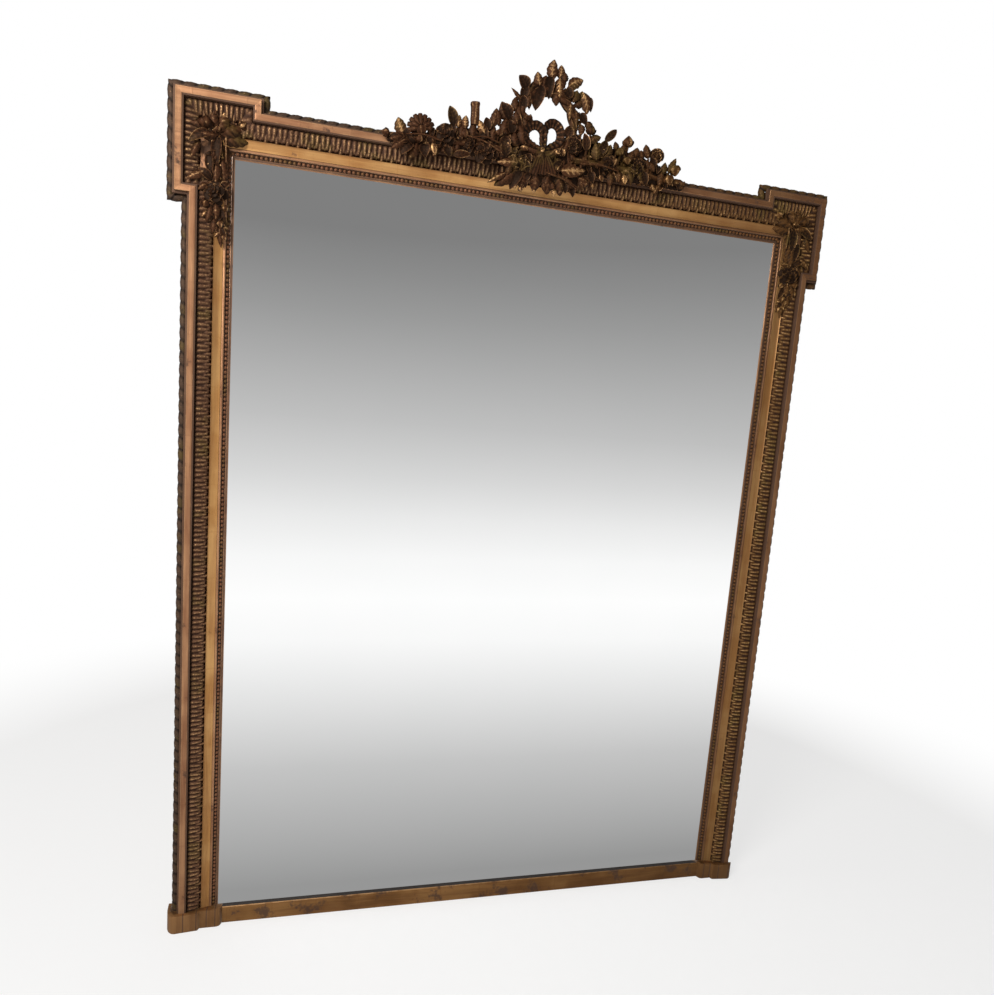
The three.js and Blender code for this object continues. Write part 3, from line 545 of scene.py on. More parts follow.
def bead_row(tree, entry, sizes):
    """Beads a pitch apart along an edge, each a little larger or smaller than the next."""
    line = tree.node("GeometryNodeMeshToCurve", {"Mesh": entry})
    spaced = tree.node("GeometryNodeResampleCurve", {"Curve": line, "Length": sizes["Pitch"]}, mode="LENGTH")
    bead = tree.node("GeometryNodeMeshUVSphere", {"Segments": 8, "Rings": 6, "Radius": sizes["Radius"]})
    spread = {"Min": 0.93, "Max": 1.03, "Seed": sizes["Seed"]}
    size = tree.node("FunctionNodeRandomValue", spread, data_type="FLOAT")
    beads = tree.node("GeometryNodeInstanceOnPoints", {"Points": spaced, "Instance": bead, "Scale": size})
    whole = tree.node("GeometryNodeRealizeInstances", {"Geometry": beads})
    outwards = 0.4 - tree.node("GeometryNodeInputNormal").part("Y") * 0.75
    sockets = {"Geometry": whole, "Name": "relief", "Value": outwards}
    return tree.node("GeometryNodeStoreNamedAttribute", sockets, data_type="FLOAT")


# ---- mouldings

HALF_GLASS, GLASS_TOP = 540, 1432
SIGHT_LINE = [(-HALF_GLASS, 28.8), (-HALF_GLASS, GLASS_TOP), (HALF_GLASS, GLASS_TOP), (HALF_GLASS, 28.8)]
EDGE_LEFT = [(-611, 28.8), (-611, 1363), (-634.7, 1363), (-634.7, 1525.8), (-498.3, 1525.8), (-498.3, 1503)]
EDGE_LINE = EDGE_LEFT + [(-x, z) for x, z in reversed(EDGE_LEFT)]
EDGE_DATUM = 71.0
BEAD_RADIUS, BEAD_PITCH = 3.35, 7.9
LEAF_PITCH, LEAF_HEIGHT = 18.1, 3.0
ROPE_PITCH, ROPE_HEIGHT = 21.0, 1.9
SIDES = {"left": (0, 1), "top": (1, 2), "right": (2, 3)}
EDGE_RUNS = {"left": (0, 1), "ear_left": (1, 5), "top": (5, 6), "ear_right": (6, 10), "right": (10, 11)}


def section_of(rows):
    """A section from rows of (outward, forward, wear, hollow), with the direction each point faces."""
    rows = np.array([(*row, 0.0, 0.0)[:4] for row in rows])
    points = rows[:, :2]
    before, after = np.roll(points, 1, 0), np.roll(points, -1, 0)
    area = (points[:, 0] * after[:, 1] - after[:, 0] * points[:, 1]).sum()
    facing = np.column_stack([(after - before)[:, 1], -(after - before)[:, 0]]) * np.sign(area)
    facing /= np.linalg.norm(facing, axis=1, keepdims=True)
    return {"points": points, "facing": facing, "wear": rows[:, 2], "hollow": rows[:, 3]}


def run_moulding(line, first, last, section, datum=0.0, step=400.0, pitch=100.0, middle=None):
    """Closed skins of a section along the straights between two corners of a line, mitred together."""
    line = np.array(line, float)
    ahead = np.diff(line, axis=0)
    lengths = np.linalg.norm(ahead, axis=1, keepdims=True)
    ahead /= lengths
    side = np.column_stack([-ahead[:, 1], ahead[:, 0]])
    inner = [(a + b) / (1 + a @ b) for a, b in zip(side, side[1:])]
    mitres = np.array([side[0], *inner, side[-1]])
    middle = datum if middle is None else middle
    forms = []
    for k in range(first, last):
        share = np.linspace(0, 1, max(2, ceil(lengths[k, 0] / step) + 1))[:, None]
        base = line[k] * (1 - share) + line[k + 1] * share
        outward = mitres[k] * (1 - share) + mitres[k + 1] * share
        spread = base[:, None] + outward[:, None] * (section["points"][None, :, :1] - datum)
        depth = np.broadcast_to(section["points"][:, 1], spread.shape[:2])
        rings = np.stack([spread[..., 0], depth, spread[..., 1]], -1)
        start = line[k] + mitres[k] * (middle - datum)
        reach = (line[k + 1] + mitres[k + 1] * (middle - datum) - start) @ ahead[k]
        repeat = reach / max(1, round(reach / pitch))
        along = (spread - start) @ ahead[k] / repeat
        push = outward[:, None] * section["facing"][None, :, :1]
        lift = np.broadcast_to(section["facing"][:, 1], push.shape[:2])
        pushes = np.stack([push[..., 0], lift, push[..., 1]], -1)
        extra = {m: np.broadcast_to(section[m], along.shape) for m in section if m not in ("points", "facing")}
        if "carved" in extra:
            ease = np.clip(np.minimum(share, 1 - share) * lengths[k, 0] / 9, 0, 1)
            extra["carved"] = extra["carved"] * (0.45 + 0.55 * ease)
        forms.append(skin(rings, along=along, push=pushes, **extra))
    return forms


bead_section = section_of(
    [(0, 0.3), (0, 3.2, 0.5), (0.5, 4.0, 0.7, 0.3), (1.1, 4.2, 0, 0.8), (3.9, 4.2, 0, 0.8), (4.5, 4.0, 0.8)]
    + [(5, 3.2, 0.2, 0.5), (5.3, 1.3, 0, 0.9), (8.4, 0.9, 0, 0.9), (11.5, 1.3, 0, 0.9), (11.8, 7.6, 0, 0.6)]
    + [(12.2, 9.0, 1), (12.9, 9.3, 0.4), (15.1, 9.3, 0.3), (15.6, 9.1, 0.9), (15.9, 8.4, 0, 0.6), (15.9, 0.3, 0, 1)]
)
cove = [16.8 + 13.6 * i / 9 for i in range(10)]
band_section = section_of(
    [(16.2, 0.3, 0, 1), (16.2, 8.6, 0, 0.7), (16.4, 9.2, 0.5)]
    + [(o, 9.3 + 5.3 * ((o - 16.2) / 15.3) ** 1.7) for o in cove]
    + [(31.0, 14.8, 1), (31.5, 14.2, 0.6), (31.5, 0.3, 0, 1)]
)
edge_section = section_of(
    [(57.9, 0.3, 0, 1), (57.9, 26.6, 0, 1), (58.1, 27.2, 0, 1), (60.4, 27.5, 0, 1), (61.0, 28.0, 0.9), (62.5, 28.2)]
    + [(66, 28.3), (69.6, 28.5), (70.5, 28.6, 1), (71, 28.1, 1), (71, 26.9, 0, 0.5), (71, 23.8, 0, 1)]
    + [(71.4, 23.1, 0, 1), (73.2, 23, 0, 0.9), (74.6, 22.9, 0.4, 0.8), (75, 22.3, 0.3, 0.8), (75, 18.6, 0, 0.9)]
    + [(74.6, 18.05, 0, 1), (71.3, 18, 0, 1), (71, 17.6, 0, 1), (71, 0.3, 0, 1)]
)

ovolo = [radians(180 - 90 * i / 15) for i in range(16)]
leaf_section = section_of(
    [(31.8, 0.3), (31.8, 8.6), (32.6, 9.4)]
    + [(56.7 + 23.2 * cos(a), 10.1 + 9.5 * sin(a)) for a in ovolo]
    + [(56.7, 0.3)]
)
leaf_section["across"] = np.array([1.0, 1.0, 1.0, *np.linspace(1, 0, 16), 0.0])
leaf_section["carved"] = np.array([0.0, 0.0, 0.0, *[1.0] * 15, 0.6, 0.0])

ROPE_GROUND = 5.6
rod = [tau * i / 18 for i in range(18)]
rod_points = [(78.3 + ROPE_GROUND * cos(a), 9 + ROPE_GROUND * sin(a)) for a in rod]
rope_section = section_of([(max(o, 71.9), f) for o, f in rod_points])
rope_section["facing"] = np.array([(cos(a), sin(a)) for a in rod])
rope_section["across"] = np.arange(18) / 18
rope_section["carved"] = np.array([1.0 if cos(a) > -0.8 else 0.2 for a in rod])


def carve_moulding(name, section, run, pitch, middle, step, height, pattern, material):
    """A moulding whose repeats are raised by a Geometry Nodes tree."""
    forms = run_moulding(EDGE_LINE, *run, section, EDGE_DATUM, step, pitch, middle)
    sizes = {"Height": height * MM, "Finish": finishes[material]}
    return grown(mesh_of(name, forms), name + " carving", sizes, raise_pattern(pattern))


def gild_moulding(piece, node, material, line, run, section, datum=0.0):
    """A plain moulding, gilded along its run."""
    dress(piece, mesh_of(node, run_moulding(line, *run, section, datum)), material, [node])


for side, run in SIDES.items():
    way = "level" if side == "top" else "upright"
    gild_moulding(f"bead_seat_{side}", f"bead_moulding_{side}", f"copper_{way}",
                  SIGHT_LINE, run, bead_section)
    guide = bpy.data.meshes.new(f"bead_guide_{side}")
    ends = [(-543.95, 3.3, 1440.4), (544, 3.3, 1440.4)]
    if side != "top":
        x = -548.4 if side == "left" else 548.4
        ends = [(x, 3.3, 33), (x, 3.3, 1436.5)]
    guide.from_pydata(placed(ends).tolist(), [(0, 1)], [])
    sizes = {"Radius": BEAD_RADIUS * MM, "Pitch": BEAD_PITCH * MM, "Seed": 5, "Finish": finishes["bronze_bead"]}
    dress(f"bead_row_{side}", grown(guide, f"beads {side}", sizes, bead_row), None)
    gild_moulding(f"gilt_band_{side}", f"plain_band_{side}", f"gilt_{way}", SIGHT_LINE, run, band_section)

for side, run in EDGE_RUNS.items():
    way = "upright" if side in ("left", "right") else "level"
    gild_moulding(f"gilt_edge_{side}", f"edge_moulding_{side}", f"copper_{way}",
                  EDGE_LINE, run, edge_section, EDGE_DATUM)
    node = f"leaf_moulding_{side}"
    carved = carve_moulding(node, leaf_section, run, LEAF_PITCH, 44.0, 1.3, LEAF_HEIGHT, leaf_and_dart, "bronze_leaf")
    dress(f"leaf_and_dart_{side}", carved, None, [node])
    node = f"rope_moulding_{side}"
    carved = carve_moulding(node, rope_section, run, ROPE_PITCH, 78.3, 1.75, ROPE_HEIGHT, twist, "bronze_rope")
    dress(f"twisted_rope_{side}", carved, None, [node])


# ---- carving tools


def unit(vector):
    """This direction, one long."""
    vector = np.asarray(vector, float)
    return vector / np.linalg.norm(vector)


def curved(points, count):
    """A smooth line through points, with count points on it."""
    points = np.asarray(points, float)
    padded = np.concatenate([[2 * points[0] - points[1]], points, [2 * points[-1] - points[-2]]])
    spots = []
    for t in np.linspace(0, len(points) - 1 - 1e-9, count):
        i, f = int(t), t - int(t)
        p0, p1, p2, p3 = padded[i : i + 4]
        cubic = 2 * p0 - 5 * p1 + 4 * p2 - p3, 3 * (p1 - p2) + p3 - p0
        spots.append(0.5 * (2 * p1 + (p2 - p0) * f + cubic[0] * f**2 + cubic[1] * f**3))
    return np.array(spots)


def rod_of(path, radii, sides, ridges=0, depth=0.0, turns=0.0, gilt=0.2):
    """A round or ridged rod along a path, with the relief of what faces forward."""
    path = np.asarray(path, float)
    radii = np.broadcast_to(np.asarray(radii, float), (len(path),))
    ahead = np.gradient(path, axis=0)
    ahead /= np.linalg.norm(ahead, axis=1, keepdims=True)
    side = unit(np.cross(ahead[0], (0.3, 0.2, 1.0)))
    angles = np.linspace(0, tau, sides, endpoint=False)
    rings, relief = [], []
    for k, (spot, way, radius) in enumerate(zip(path, ahead, radii)):
        side = unit(side - way * (side @ way))
        up = np.cross(way, side)
        facing = np.outer(np.cos(angles), side) + np.outer(np.sin(angles), up)
        ridge = np.cos(ridges * angles + turns * tau * k / len(path)) if ridges else np.zeros(sides)
        rings.append(spot + facing * (radius * (1 + depth * ridge))[:, None])
        relief.append(0.35 + 0.3 * facing[:, 1] + 0.25 * ridge)
    return skin(rings, relief=np.clip(relief, 0, 1), gilt=gilt)


def leaf(base, tip, width, facing=(-0.2, 1, 0.1), bend=0.0, lift=3.0, curl=-3.0, cup=0.35, veins=5,
         notches=0, shape=(0.55, 0.62), thick=2.4, gilt=0.2, stations=15, across=9):
    """A carved leaf or petal from base to tip: bent, cupped, veined and as thick as a chisel leaves it."""
    base, tip = np.asarray(base, float), np.asarray(tip, float)
    t = np.linspace(0.01, 0.99, stations)[:, None]
    u = np.linspace(-1, 1, across)[None, :]
    ahead = unit(tip - base)
    facing = np.asarray(facing, float)
    front = unit(facing - ahead * (facing @ ahead))
    side = np.cross(ahead, front)
    rise, fall = shape
    peak = rise / (rise + fall)
    outline = t**rise * (1 - t) ** fall / (peak**rise * (1 - peak) ** fall)
    if notches:
        outline = outline * (0.84 + 0.16 * np.abs(np.cos(pi * notches * t)))
    half = width / 2 * outline
    middle = base + (tip - base) * t + side * bend * 4 * t * (1 - t)
    middle = middle + front * (lift * 4 * t * (1 - t) + curl * t**2)
    vein = np.cos(tau * (veins * t - 0.9 * np.abs(u))) * np.abs(u) ** 0.5 * (1 - u**2)
    rib = np.exp(-((u / 0.16) ** 2)) * (1 - t)
    height = -cup * half * u**2 + 0.055 * width * vein + 0.07 * width * rib
    wall = thick * (1 - 0.7 * u**2) * (1 - 0.6 * t)
    top = middle[:, None] + side * (u * half)[..., None] + front * height[..., None]
    below = top - front * wall[..., None]
    rings = np.concatenate([top, below[:, ::-1]], 1)
    proud = 1 - u**2 if cup > 0 else np.abs(u) ** 3
    worn = np.clip(0.4 * vein + 0.32 * rib + 0.5 * proud + 0.3 * np.abs(u) ** 8 + 0.24 * t, 0, 1)
    relief = np.concatenate([worn, np.full_like(worn, 0.1)], 1)
    return skin(rings, relief=relief, gilt=gilt)


def bud(base, tip, radius, gilt, sepals=3, grooves=4):
    """A closed flower bud with spiral grooves, held by sepals."""
    base, tip = np.asarray(base, float), np.asarray(tip, float)
    share = np.array([0, 0.08, 0.2, 0.35, 0.5, 0.65, 0.8, 0.92, 1.0])
    girth = np.array([0.3, 0.62, 0.88, 1.0, 0.97, 0.8, 0.52, 0.24, 0.06]) * radius
    forms = [rod_of(base + np.outer(share, tip - base), girth, 16, grooves, 0.08, 0.45, gilt)]
    way = unit(tip - base)
    side = unit(np.cross(way, (0.1, 1.0, 0.2)))
    up = np.cross(way, side)
    for k in range(sepals):
        angle = tau * (k + 0.5) / sepals
        out = side * cos(angle) + up * sin(angle)
        start = base + out * radius * 0.25
        end = base + (tip - base) * 0.62 + out * radius * 1.12
        forms.append(leaf(start, end, radius * 0.95, out, 0, radius * 0.35, 0, 0.3, 2, thick=1.2, gilt=gilt * 0.5,
                          stations=8, across=5))
    return forms


# Each whorl of a rose: its petals, where they start and end, out and forward, their width, cup and curl.
WHORLS = [
    (6, 0.14, 1.0, -0.12, 0.0, 1.02, -0.22, -0.2),
    (5, 0.12, 0.8, 0.04, 0.26, 0.88, -0.34, -0.12),
    (4, 0.08, 0.54, 0.22, 0.46, 0.68, -0.45, -0.02),
    (3, 0.03, 0.3, 0.4, 0.6, 0.48, -0.55, 0.0),
]


def rose(centre, radius, gilt, turn):
    """An open rose: four whorls of cupped petals round a tight heart."""
    axis = unit((-0.25, 1, 0.1))
    right = unit(np.cross(axis, (0, 0, 1)))
    up = np.cross(right, axis)
    forms = []
    for ring, (count, inner, outer, low, high, width, cup, curl) in enumerate(WHORLS):
        for k in range(count):
            angle = turn + tau * (k + 0.37 * ring) / count
            out = right * cos(angle) + up * sin(angle)
            base = centre + (out * inner + axis * low) * radius
            tip = centre + (out * outer + axis * high) * radius
            forms.append(
                leaf(base, tip, width * radius, axis - out * 0.5, 0, 0.1 * radius, curl * radius, cup, 0,
                     shape=(0.6, 0.3), thick=1.7, gilt=gilt, stations=9, across=7)
            )
    heart = centre + axis * radius * np.array([[0.2], [0.5], [0.72]])
    forms.append(rod_of(heart, np.array([0.3, 0.24, 0.05]) * radius, 12, 3, 0.15, 0.6, gilt))
    return forms


def carnation(base, top, radius, gilt):
    """A fan of frilled petals in two layers over a ribbed calyx."""
    way = unit(top - base)
    side = unit(np.cross(way, (0, 1, 0)))
    heart = base + (top - base) * 0.35
    forms = [rod_of(curved([base, base + (heart - base) * 0.6, heart + way * 3], 6),
                    np.array([0.12, 0.2, 0.27, 0.33, 0.36, 0.3]) * radius, 12, 6, 0.1, 0, gilt)]
    for count, reach, depth, width in ((9, 1.0, -2.0, 0.38), (7, 0.72, 3.5, 0.36)):
        for k in range(count):
            angle = radians(-92 + 184 * k / (count - 1))
            out = way * cos(angle) + side * sin(angle)
            start = heart + (0, depth * 0.3, 0)
            end = heart + out * reach * radius + (0, depth, 0)
            forms.append(
                leaf(start, end, width * radius, (-0.2, 1, 0), 0, 2.2 + k % 2 * 1.5, -2.0, 0.45, 3, 3,
                     (0.8, 0.22), 1.9, gilt, 12, 11)
            )
    return forms


def ribbon(path, across, width, thick, flutes, gilt, folds=0):
    """A fluted ribbon along a path, its width along `across`, one direction or one for each point."""
    path = np.asarray(path, float)
    ahead = np.gradient(path, axis=0)
    ahead /= np.linalg.norm(ahead, axis=1, keepdims=True)
    across = np.broadcast_to(np.asarray(across, float), path.shape)
    across = across - ahead * np.sum(across * ahead, 1, keepdims=True)
    across = across / np.linalg.norm(across, axis=1, keepdims=True)
    normal = np.cross(ahead, across)
    width = np.broadcast_to(np.asarray(width, float), (len(path),))[:, None]
    u = np.linspace(-1, 1, 4 * flutes + 1)[None, :]
    flute = 0.5 * np.cos(pi * flutes * 2 * (u + 1) / 2 + pi)
    face = path[:, None] + across[:, None] * (u * width / 2)[..., None]
    fold = np.cos(tau * folds * np.linspace(0, 1, len(path)))[:, None] * (1 if folds else 0)
    offset = (thick / 2 + 0.7 * flute + 0.7 * fold)[..., None] * normal[:, None]
    rings = np.concatenate([face + offset, (face - offset)[:, ::-1]], 1)
    worn = np.broadcast_to(np.clip(0.35 + 0.4 * flute + 0.35 * fold, 0, 1), face.shape[:2])
    return skin(rings, relief=np.concatenate([worn, worn[:, ::-1]], 1), gilt=gilt)


# How far forward of the glass the planes lie in which the carvings' places are given.
CREST_PLANE, GARLAND_PLANE = 45.0, 26.0


def sighted(x, z, forward, plane=CREST_PLANE):
    """The point at a depth forward of the glass that shows in line with (x, z) in a plane at its own depth."""
    seen_from = np.array([eye.x / MM, (glass_front - eye.y) / MM, eye.z / MM])
    spot = np.array([x, plane, z], float)
    return seen_from + (spot - seen_from) * (seen_from[1] - forward) / (seen_from[1] - plane)


def stalk(stem, end, radius, gilt):
    """A short stalk from the nearest place on a stem to a bloom or leaf."""
    root = stem[np.argmin(np.linalg.norm(stem - end, axis=1))]
    middle = (root + end) / 2 + (0, -1.5, 1.0)
    return rod_of(curved([root, middle, end], 7), np.linspace(radius * 1.3, radius, 7), 7, gilt=gilt)


def table(text, datum=0):
    """Rows of carvings: kind, foot, tip, size, gilt, and how far each stands off its ground.

    The text gives the foot across and above the datum, and how far across and up from it the tip is.
    """
    rows = []
    for row in text.split(";"):
        kind, *numbers = row.split()
        x, z, across, up, size, gilt, stand = map(float, numbers)
        rows.append((kind, (x, z + datum), (x + across, z + datum + up), size, gilt, stand))
    return rows


def carve(items, stem, plane, ground, rise):
    """The carvings of a table's rows, each with a stalk to the stem where there is one."""
    forms = []
    for n, (kind, foot, tip, size, gilt, stand) in enumerate(items):
        low = sighted(*foot, ground(*foot) + stand, plane)
        high = sighted(*tip, ground(*tip) + stand + rise, plane)
        if kind == "leaf":
            cup = 0.4 if n % 3 or gilt > 0.55 else -0.35
            forms.append(leaf(low, high, size, bend=(n % 3 - 1) * 0.08 * size, cup=cup, notches=(0, 5, 4)[n % 3],
                              shape=(0.55, (0.82, 0.95, 0.78)[n % 3]), gilt=gilt))
        elif kind == "acanthus":
            forms.append(leaf(low, high, size, lift=5, curl=-4, cup=0.5, veins=4, notches=4, gilt=gilt,
                              stations=25, across=11))
        elif kind == "bud":
            forms += bud(low, high, size, gilt)
        elif kind == "rose":
            forms += rose(high - (0, rise, 0), size, gilt, n * 1.3)
        elif kind == "carnation":
            forms += carnation(low, high, size, gilt)
        elif kind == "branch":
            line = curved([low, (low + high) / 2 + (0.5, 1, 0), high], 12)
            forms.append(rod_of(line, size * np.array([0.86] * 2 + [0.95] * 8 + [1.06, 0.98]), 18, 7, 0.05, 0.3, gilt))
        elif kind == "stem":
            line = curved([low, (low + high) / 2 + (0, 2, 4), high], 12)
            forms.append(rod_of(line, np.linspace(0.8 * size, 0.45 * size, 12), 8, gilt=gilt))
        if stem is not None and kind not in ("stem", "rose"):
            forms.append(stalk(stem, low, min(2.2, size * 0.2), gilt * 0.5))
    return forms


def ground_leaves(stem, count, reach, width, seed, floor):
    """Low leaves that spring from a stem on both sides and close the ground behind the blooms."""
    dice = random.Random(seed)
    forms = []
    for k in range(count):
        root = stem[int((k + 0.5) / count * (len(stem) - 1))]
        way = 1 if k % 2 else -1
        lean = dice.uniform(-0.9, 0.9)
        long = reach * dice.uniform(0.7, 1.05)
        tip = root + (lean * long, 0, way * long)
        root = np.array([root[0], floor, root[2]])
        tip[1] = floor + dice.uniform(1.0, 5.0)
        forms.append(leaf(root, tip, width * dice.uniform(0.8, 1.15), bend=dice.uniform(-3, 3), lift=3.5, curl=-2,
                          veins=4, notches=3 if k % 3 == 0 else 0, thick=4.0, gilt=dice.choice([0.1, 0.2, 0.35])))
    return forms


def bed(tops, low, back, front):
    """The thick dark ground of a carving, from a level foot up to an uneven top, flat behind."""
    tops = np.array(tops, float)
    xs = np.arange(tops[0, 0], tops[-1, 0] + 0.1, 3.0)
    rings = []
    for x in xs:
        high = np.interp(x, *tops.T) + 1.2 * sin(x * 0.9) + 0.8 * sin(x * 2.3)
        foot = low + 1.5 * sin(x * 0.7)
        face = [(front - 2, foot), (front, foot + 3), (front, high - 4), (front - 2.5, high)]
        rings.append([sighted(x, z, f) for f, z in [(back, foot), *face, (back, high)]])
    return skin(rings, relief=0.12, gilt=0.0)


def scattered(tops, low, count, seed):
    """Small leaves, petals and berries that cover the ground below a line."""
    dice = random.Random(seed)
    tops = np.array(tops, float)
    forms = []
    for _ in range(count):
        x = dice.uniform(tops[0, 0] + 5, tops[-1, 0] - 5)
        high = np.interp(x, *tops.T)
        z = dice.uniform(low, high - 2)
        foot = sighted(x, z, 35 + dice.uniform(0, 2.5))
        angle = dice.uniform(0, tau)
        long = dice.uniform(11, 17)
        way = np.array([cos(angle), 0, sin(angle)])
        if z + way[2] * long > high + 3:
            way[2] = -way[2]
        gilt = dice.choice([0.0, 0.1, 0.2, 0.3, 0.6])
        if dice.random() < 0.25:
            forms += bud(foot, foot + way * 7 + (0, 5, 0), dice.uniform(3.2, 4.8), gilt, 2, 3)
        else:
            tip = foot + way * long + (0, dice.uniform(3, 8), 0)
            cup = dice.choice([0.5, -0.45])
            forms.append(leaf(foot, tip, dice.uniform(8, 13), cup=cup, bend=dice.uniform(-2, 2), veins=3, gilt=gilt,
                              thick=2.0, stations=11, across=7))
    return forms


# ---- crest

CREST_DATUM = 1500
BED_BACK, BED_FRONT, LEAF_FLOOR = 29, 36, 31
SPRAY_LEFT = table("""
    leaf -176 14 6 26 16 0.1 2; leaf -156 12 2 28 17 0.12 2; leaf -134 14 2 34 16 0.15 2; leaf -116 14 2 31 17 0.1 2;
    leaf -98 14 2 34 18 0.12 2; leaf -78 30 6 32 19 0.1 2; leaf -248 -2 -14 18 15 0.1 2; bud -283 1 -14 3 7 0.2 0;
    leaf -257 3 -12 28 23 0.7 3; carnation -225 4 -6 42 26 0.1 2; leaf -258 0 -24 -6 15 0.1 2;
    leaf -255 -4 -23 -16 15 0.1 3; leaf -242 -7 -20 -22 21 0.15 2; leaf -232 -7 -14 -27 22 0.15 1;
    bud -228 -4 -1 13 6.5 0.4 8; leaf -219 -5 2 -22 20 0.1 3; bud -205 -3 6 -18 6.5 0.9 8; rose -183 17 0 0 20 0.08 3;
    leaf -169 32 -10 33 19 0.2 3; leaf -162 31 2 22 14 0.8 4; leaf -148 31 0 23 15 0.75 5; bud -147 16 -1 16 7.5 0.25 7;
    branch -132 40 -1 37 8.4 0.42 3; leaf -110 27 -15 24 16 0.85 6; leaf -108 34 -3 23 16 0.2 3;
    leaf -98 42 5 34 17 0.3 2; leaf -65 59 -19 29 26 0.3 1; leaf -167 -16 32 7 14 0.5 5; rose -108 0 0 0 22 0.1 2;
    rose -139 13 0 0 13 0.15 3; leaf -76 10 4 23 21 0.25 4; leaf -46 -11 -39 -3 18 0.7 5; leaf -195 -6 -9 -17 13 0.2 3;
    leaf -179 -4 7 -16 16 0.15 3; bud -86 28 3 14 8 0.3 5; leaf -210 16 -4 14 14 0.15 3; leaf -120 20 16 14 15 0.15 4;
    stem -79 3 -68 18 2.4 0.5 11; stem -190 4 -63 2 2.1 0.4 9; stem -85 18 -47 3 2.1 0.4 12
""", CREST_DATUM)

SPRAY_RIGHT = table("""
    leaf 112 28 12 28 18 0.1 3; leaf 128 26 6 24 17 0.15 4; leaf 160 30 2 26 15 0.1 2; leaf 222 20 -2 22 16 0.1 2;
    leaf 246 12 4 24 16 0.1 2; leaf 176 24 4 22 16 0.2 3; leaf 85 30 -6 31 16 0.45 5; bud 90 59 2 18 9.5 0.05 3;
    leaf 91 47 22 13 17 0.35 3; leaf 121 52 22 26 15 0.35 3; leaf 107 17 -4 31 20 0.35 6; bud 168 49 0 21 10.5 0.5 3;
    bud 154 32 -2 15 9 0.4 6; leaf 146 40 -4 16 13 0.15 3; leaf 213 36 -7 25 17 0.3 3; rose 232 46 0 0 14 0.5 4;
    leaf 258 17 14 30 15 0.25 3; bud 269 31 4 -18 11 0.5 4; bud 256 11 8 -16 10 0.55 5; leaf 185 34 4 19 18 0.15 3;
    leaf 200 33 -3 16 16 0.15 2; leaf 38 -11 50 8 22 0.75 8; bud 167 -1 3 -16 6.4 1.0 8; bud 117 -9 6 -10 5.3 0.6 7;
    rose 134 18 0 0 15 0.12 4; rose 192 22 0 0 16 0.12 3; bud 168 31 4 -12 8.5 0.45 7; bud 145 25 -1 -12 7.4 0.4 7;
    leaf 218 29 11 -14 16 0.2 5; leaf 243 17 -2 -26 16 0.2 3; leaf 205 11 9 -24 16 0.15 3; leaf 176 7 6 -24 16 0.15 3;
    leaf 137 -1 2 -23 16 0.15 3; leaf 97 -5 7 -19 16 0.2 3; leaf 79 -23 7 -16 13 0.4 3; leaf 153 4 4 -18 13 0.3 5;
    stem 14 -20 61 -21 2.3 0.45 10; stem 76 6 77 -1 2.4 0.4 10; leaf 269 3 31 -3 14 0.2 0
""", CREST_DATUM)

WREATH = table("""
    leaf -46 98 4 28 17 0.1 2; leaf -30 106 2 26 17 0.15 2; leaf -8 120 4 26 18 0.1 2; leaf 34 112 14 22 18 0.1 2;
    leaf 56 102 16 14 17 0.15 2; leaf 20 122 14 24 17 0.1 1; leaf -40 115 -15 22 22 0.25 4; leaf -45 91 -23 23 9 0.2 3;
    leaf -14 123 -7 26 19 0.65 4; leaf -14 127 -6 -43 29 0.15 5; leaf -36 118 4 -35 17 0.12 3;
    leaf 7 140 2 35 22 0.55 4; leaf 21 144 2 24 15 0.6 1; leaf 31 139 0 18 15 0.1 3; leaf 40 133 28 18 23 0.7 4;
    leaf 3 145 1 -38 20 0.08 4; leaf 22 145 1 -35 20 0.7 5; leaf 13 132 6 -34 23 0.12 3; leaf 35 129 13 -15 20 0.12 3;
    leaf 58 129 -7 -20 20 0.12 4; leaf 68 129 13 -35 23 0.6 4; leaf 80 122 8 -23 14 0.12 3; leaf 46 108 1 -30 13 0.6 5;
    leaf 57 97 3 -27 13 0.3 4; leaf 66 92 16 -17 16 0.15 3; leaf 80 80 17 -16 16 0.12 3; leaf 70 74 2 -18 15 0.2 4;
    leaf -67 60 -17 26 21 0.3 2; leaf -88 47 -4 28 15 0.3 2; leaf -57 74 -2 26 16 0.12 3; leaf -45 80 0 26 17 0.12 4;
    leaf -51 49 -6 29 20 0.08 5; leaf -34 48 -5 30 18 0.08 4; leaf -60 37 -8 23 18 0.15 3; leaf -38 22 -7 29 20 0.08 5;
    leaf -52 16 -4 24 18 0.1 4; bud -36 63 2 11 7 0.2 7; bud -55 53 -3 10 6.7 0.3 8; leaf -30 55 2 21 14 0.2 3
""", CREST_DATUM)

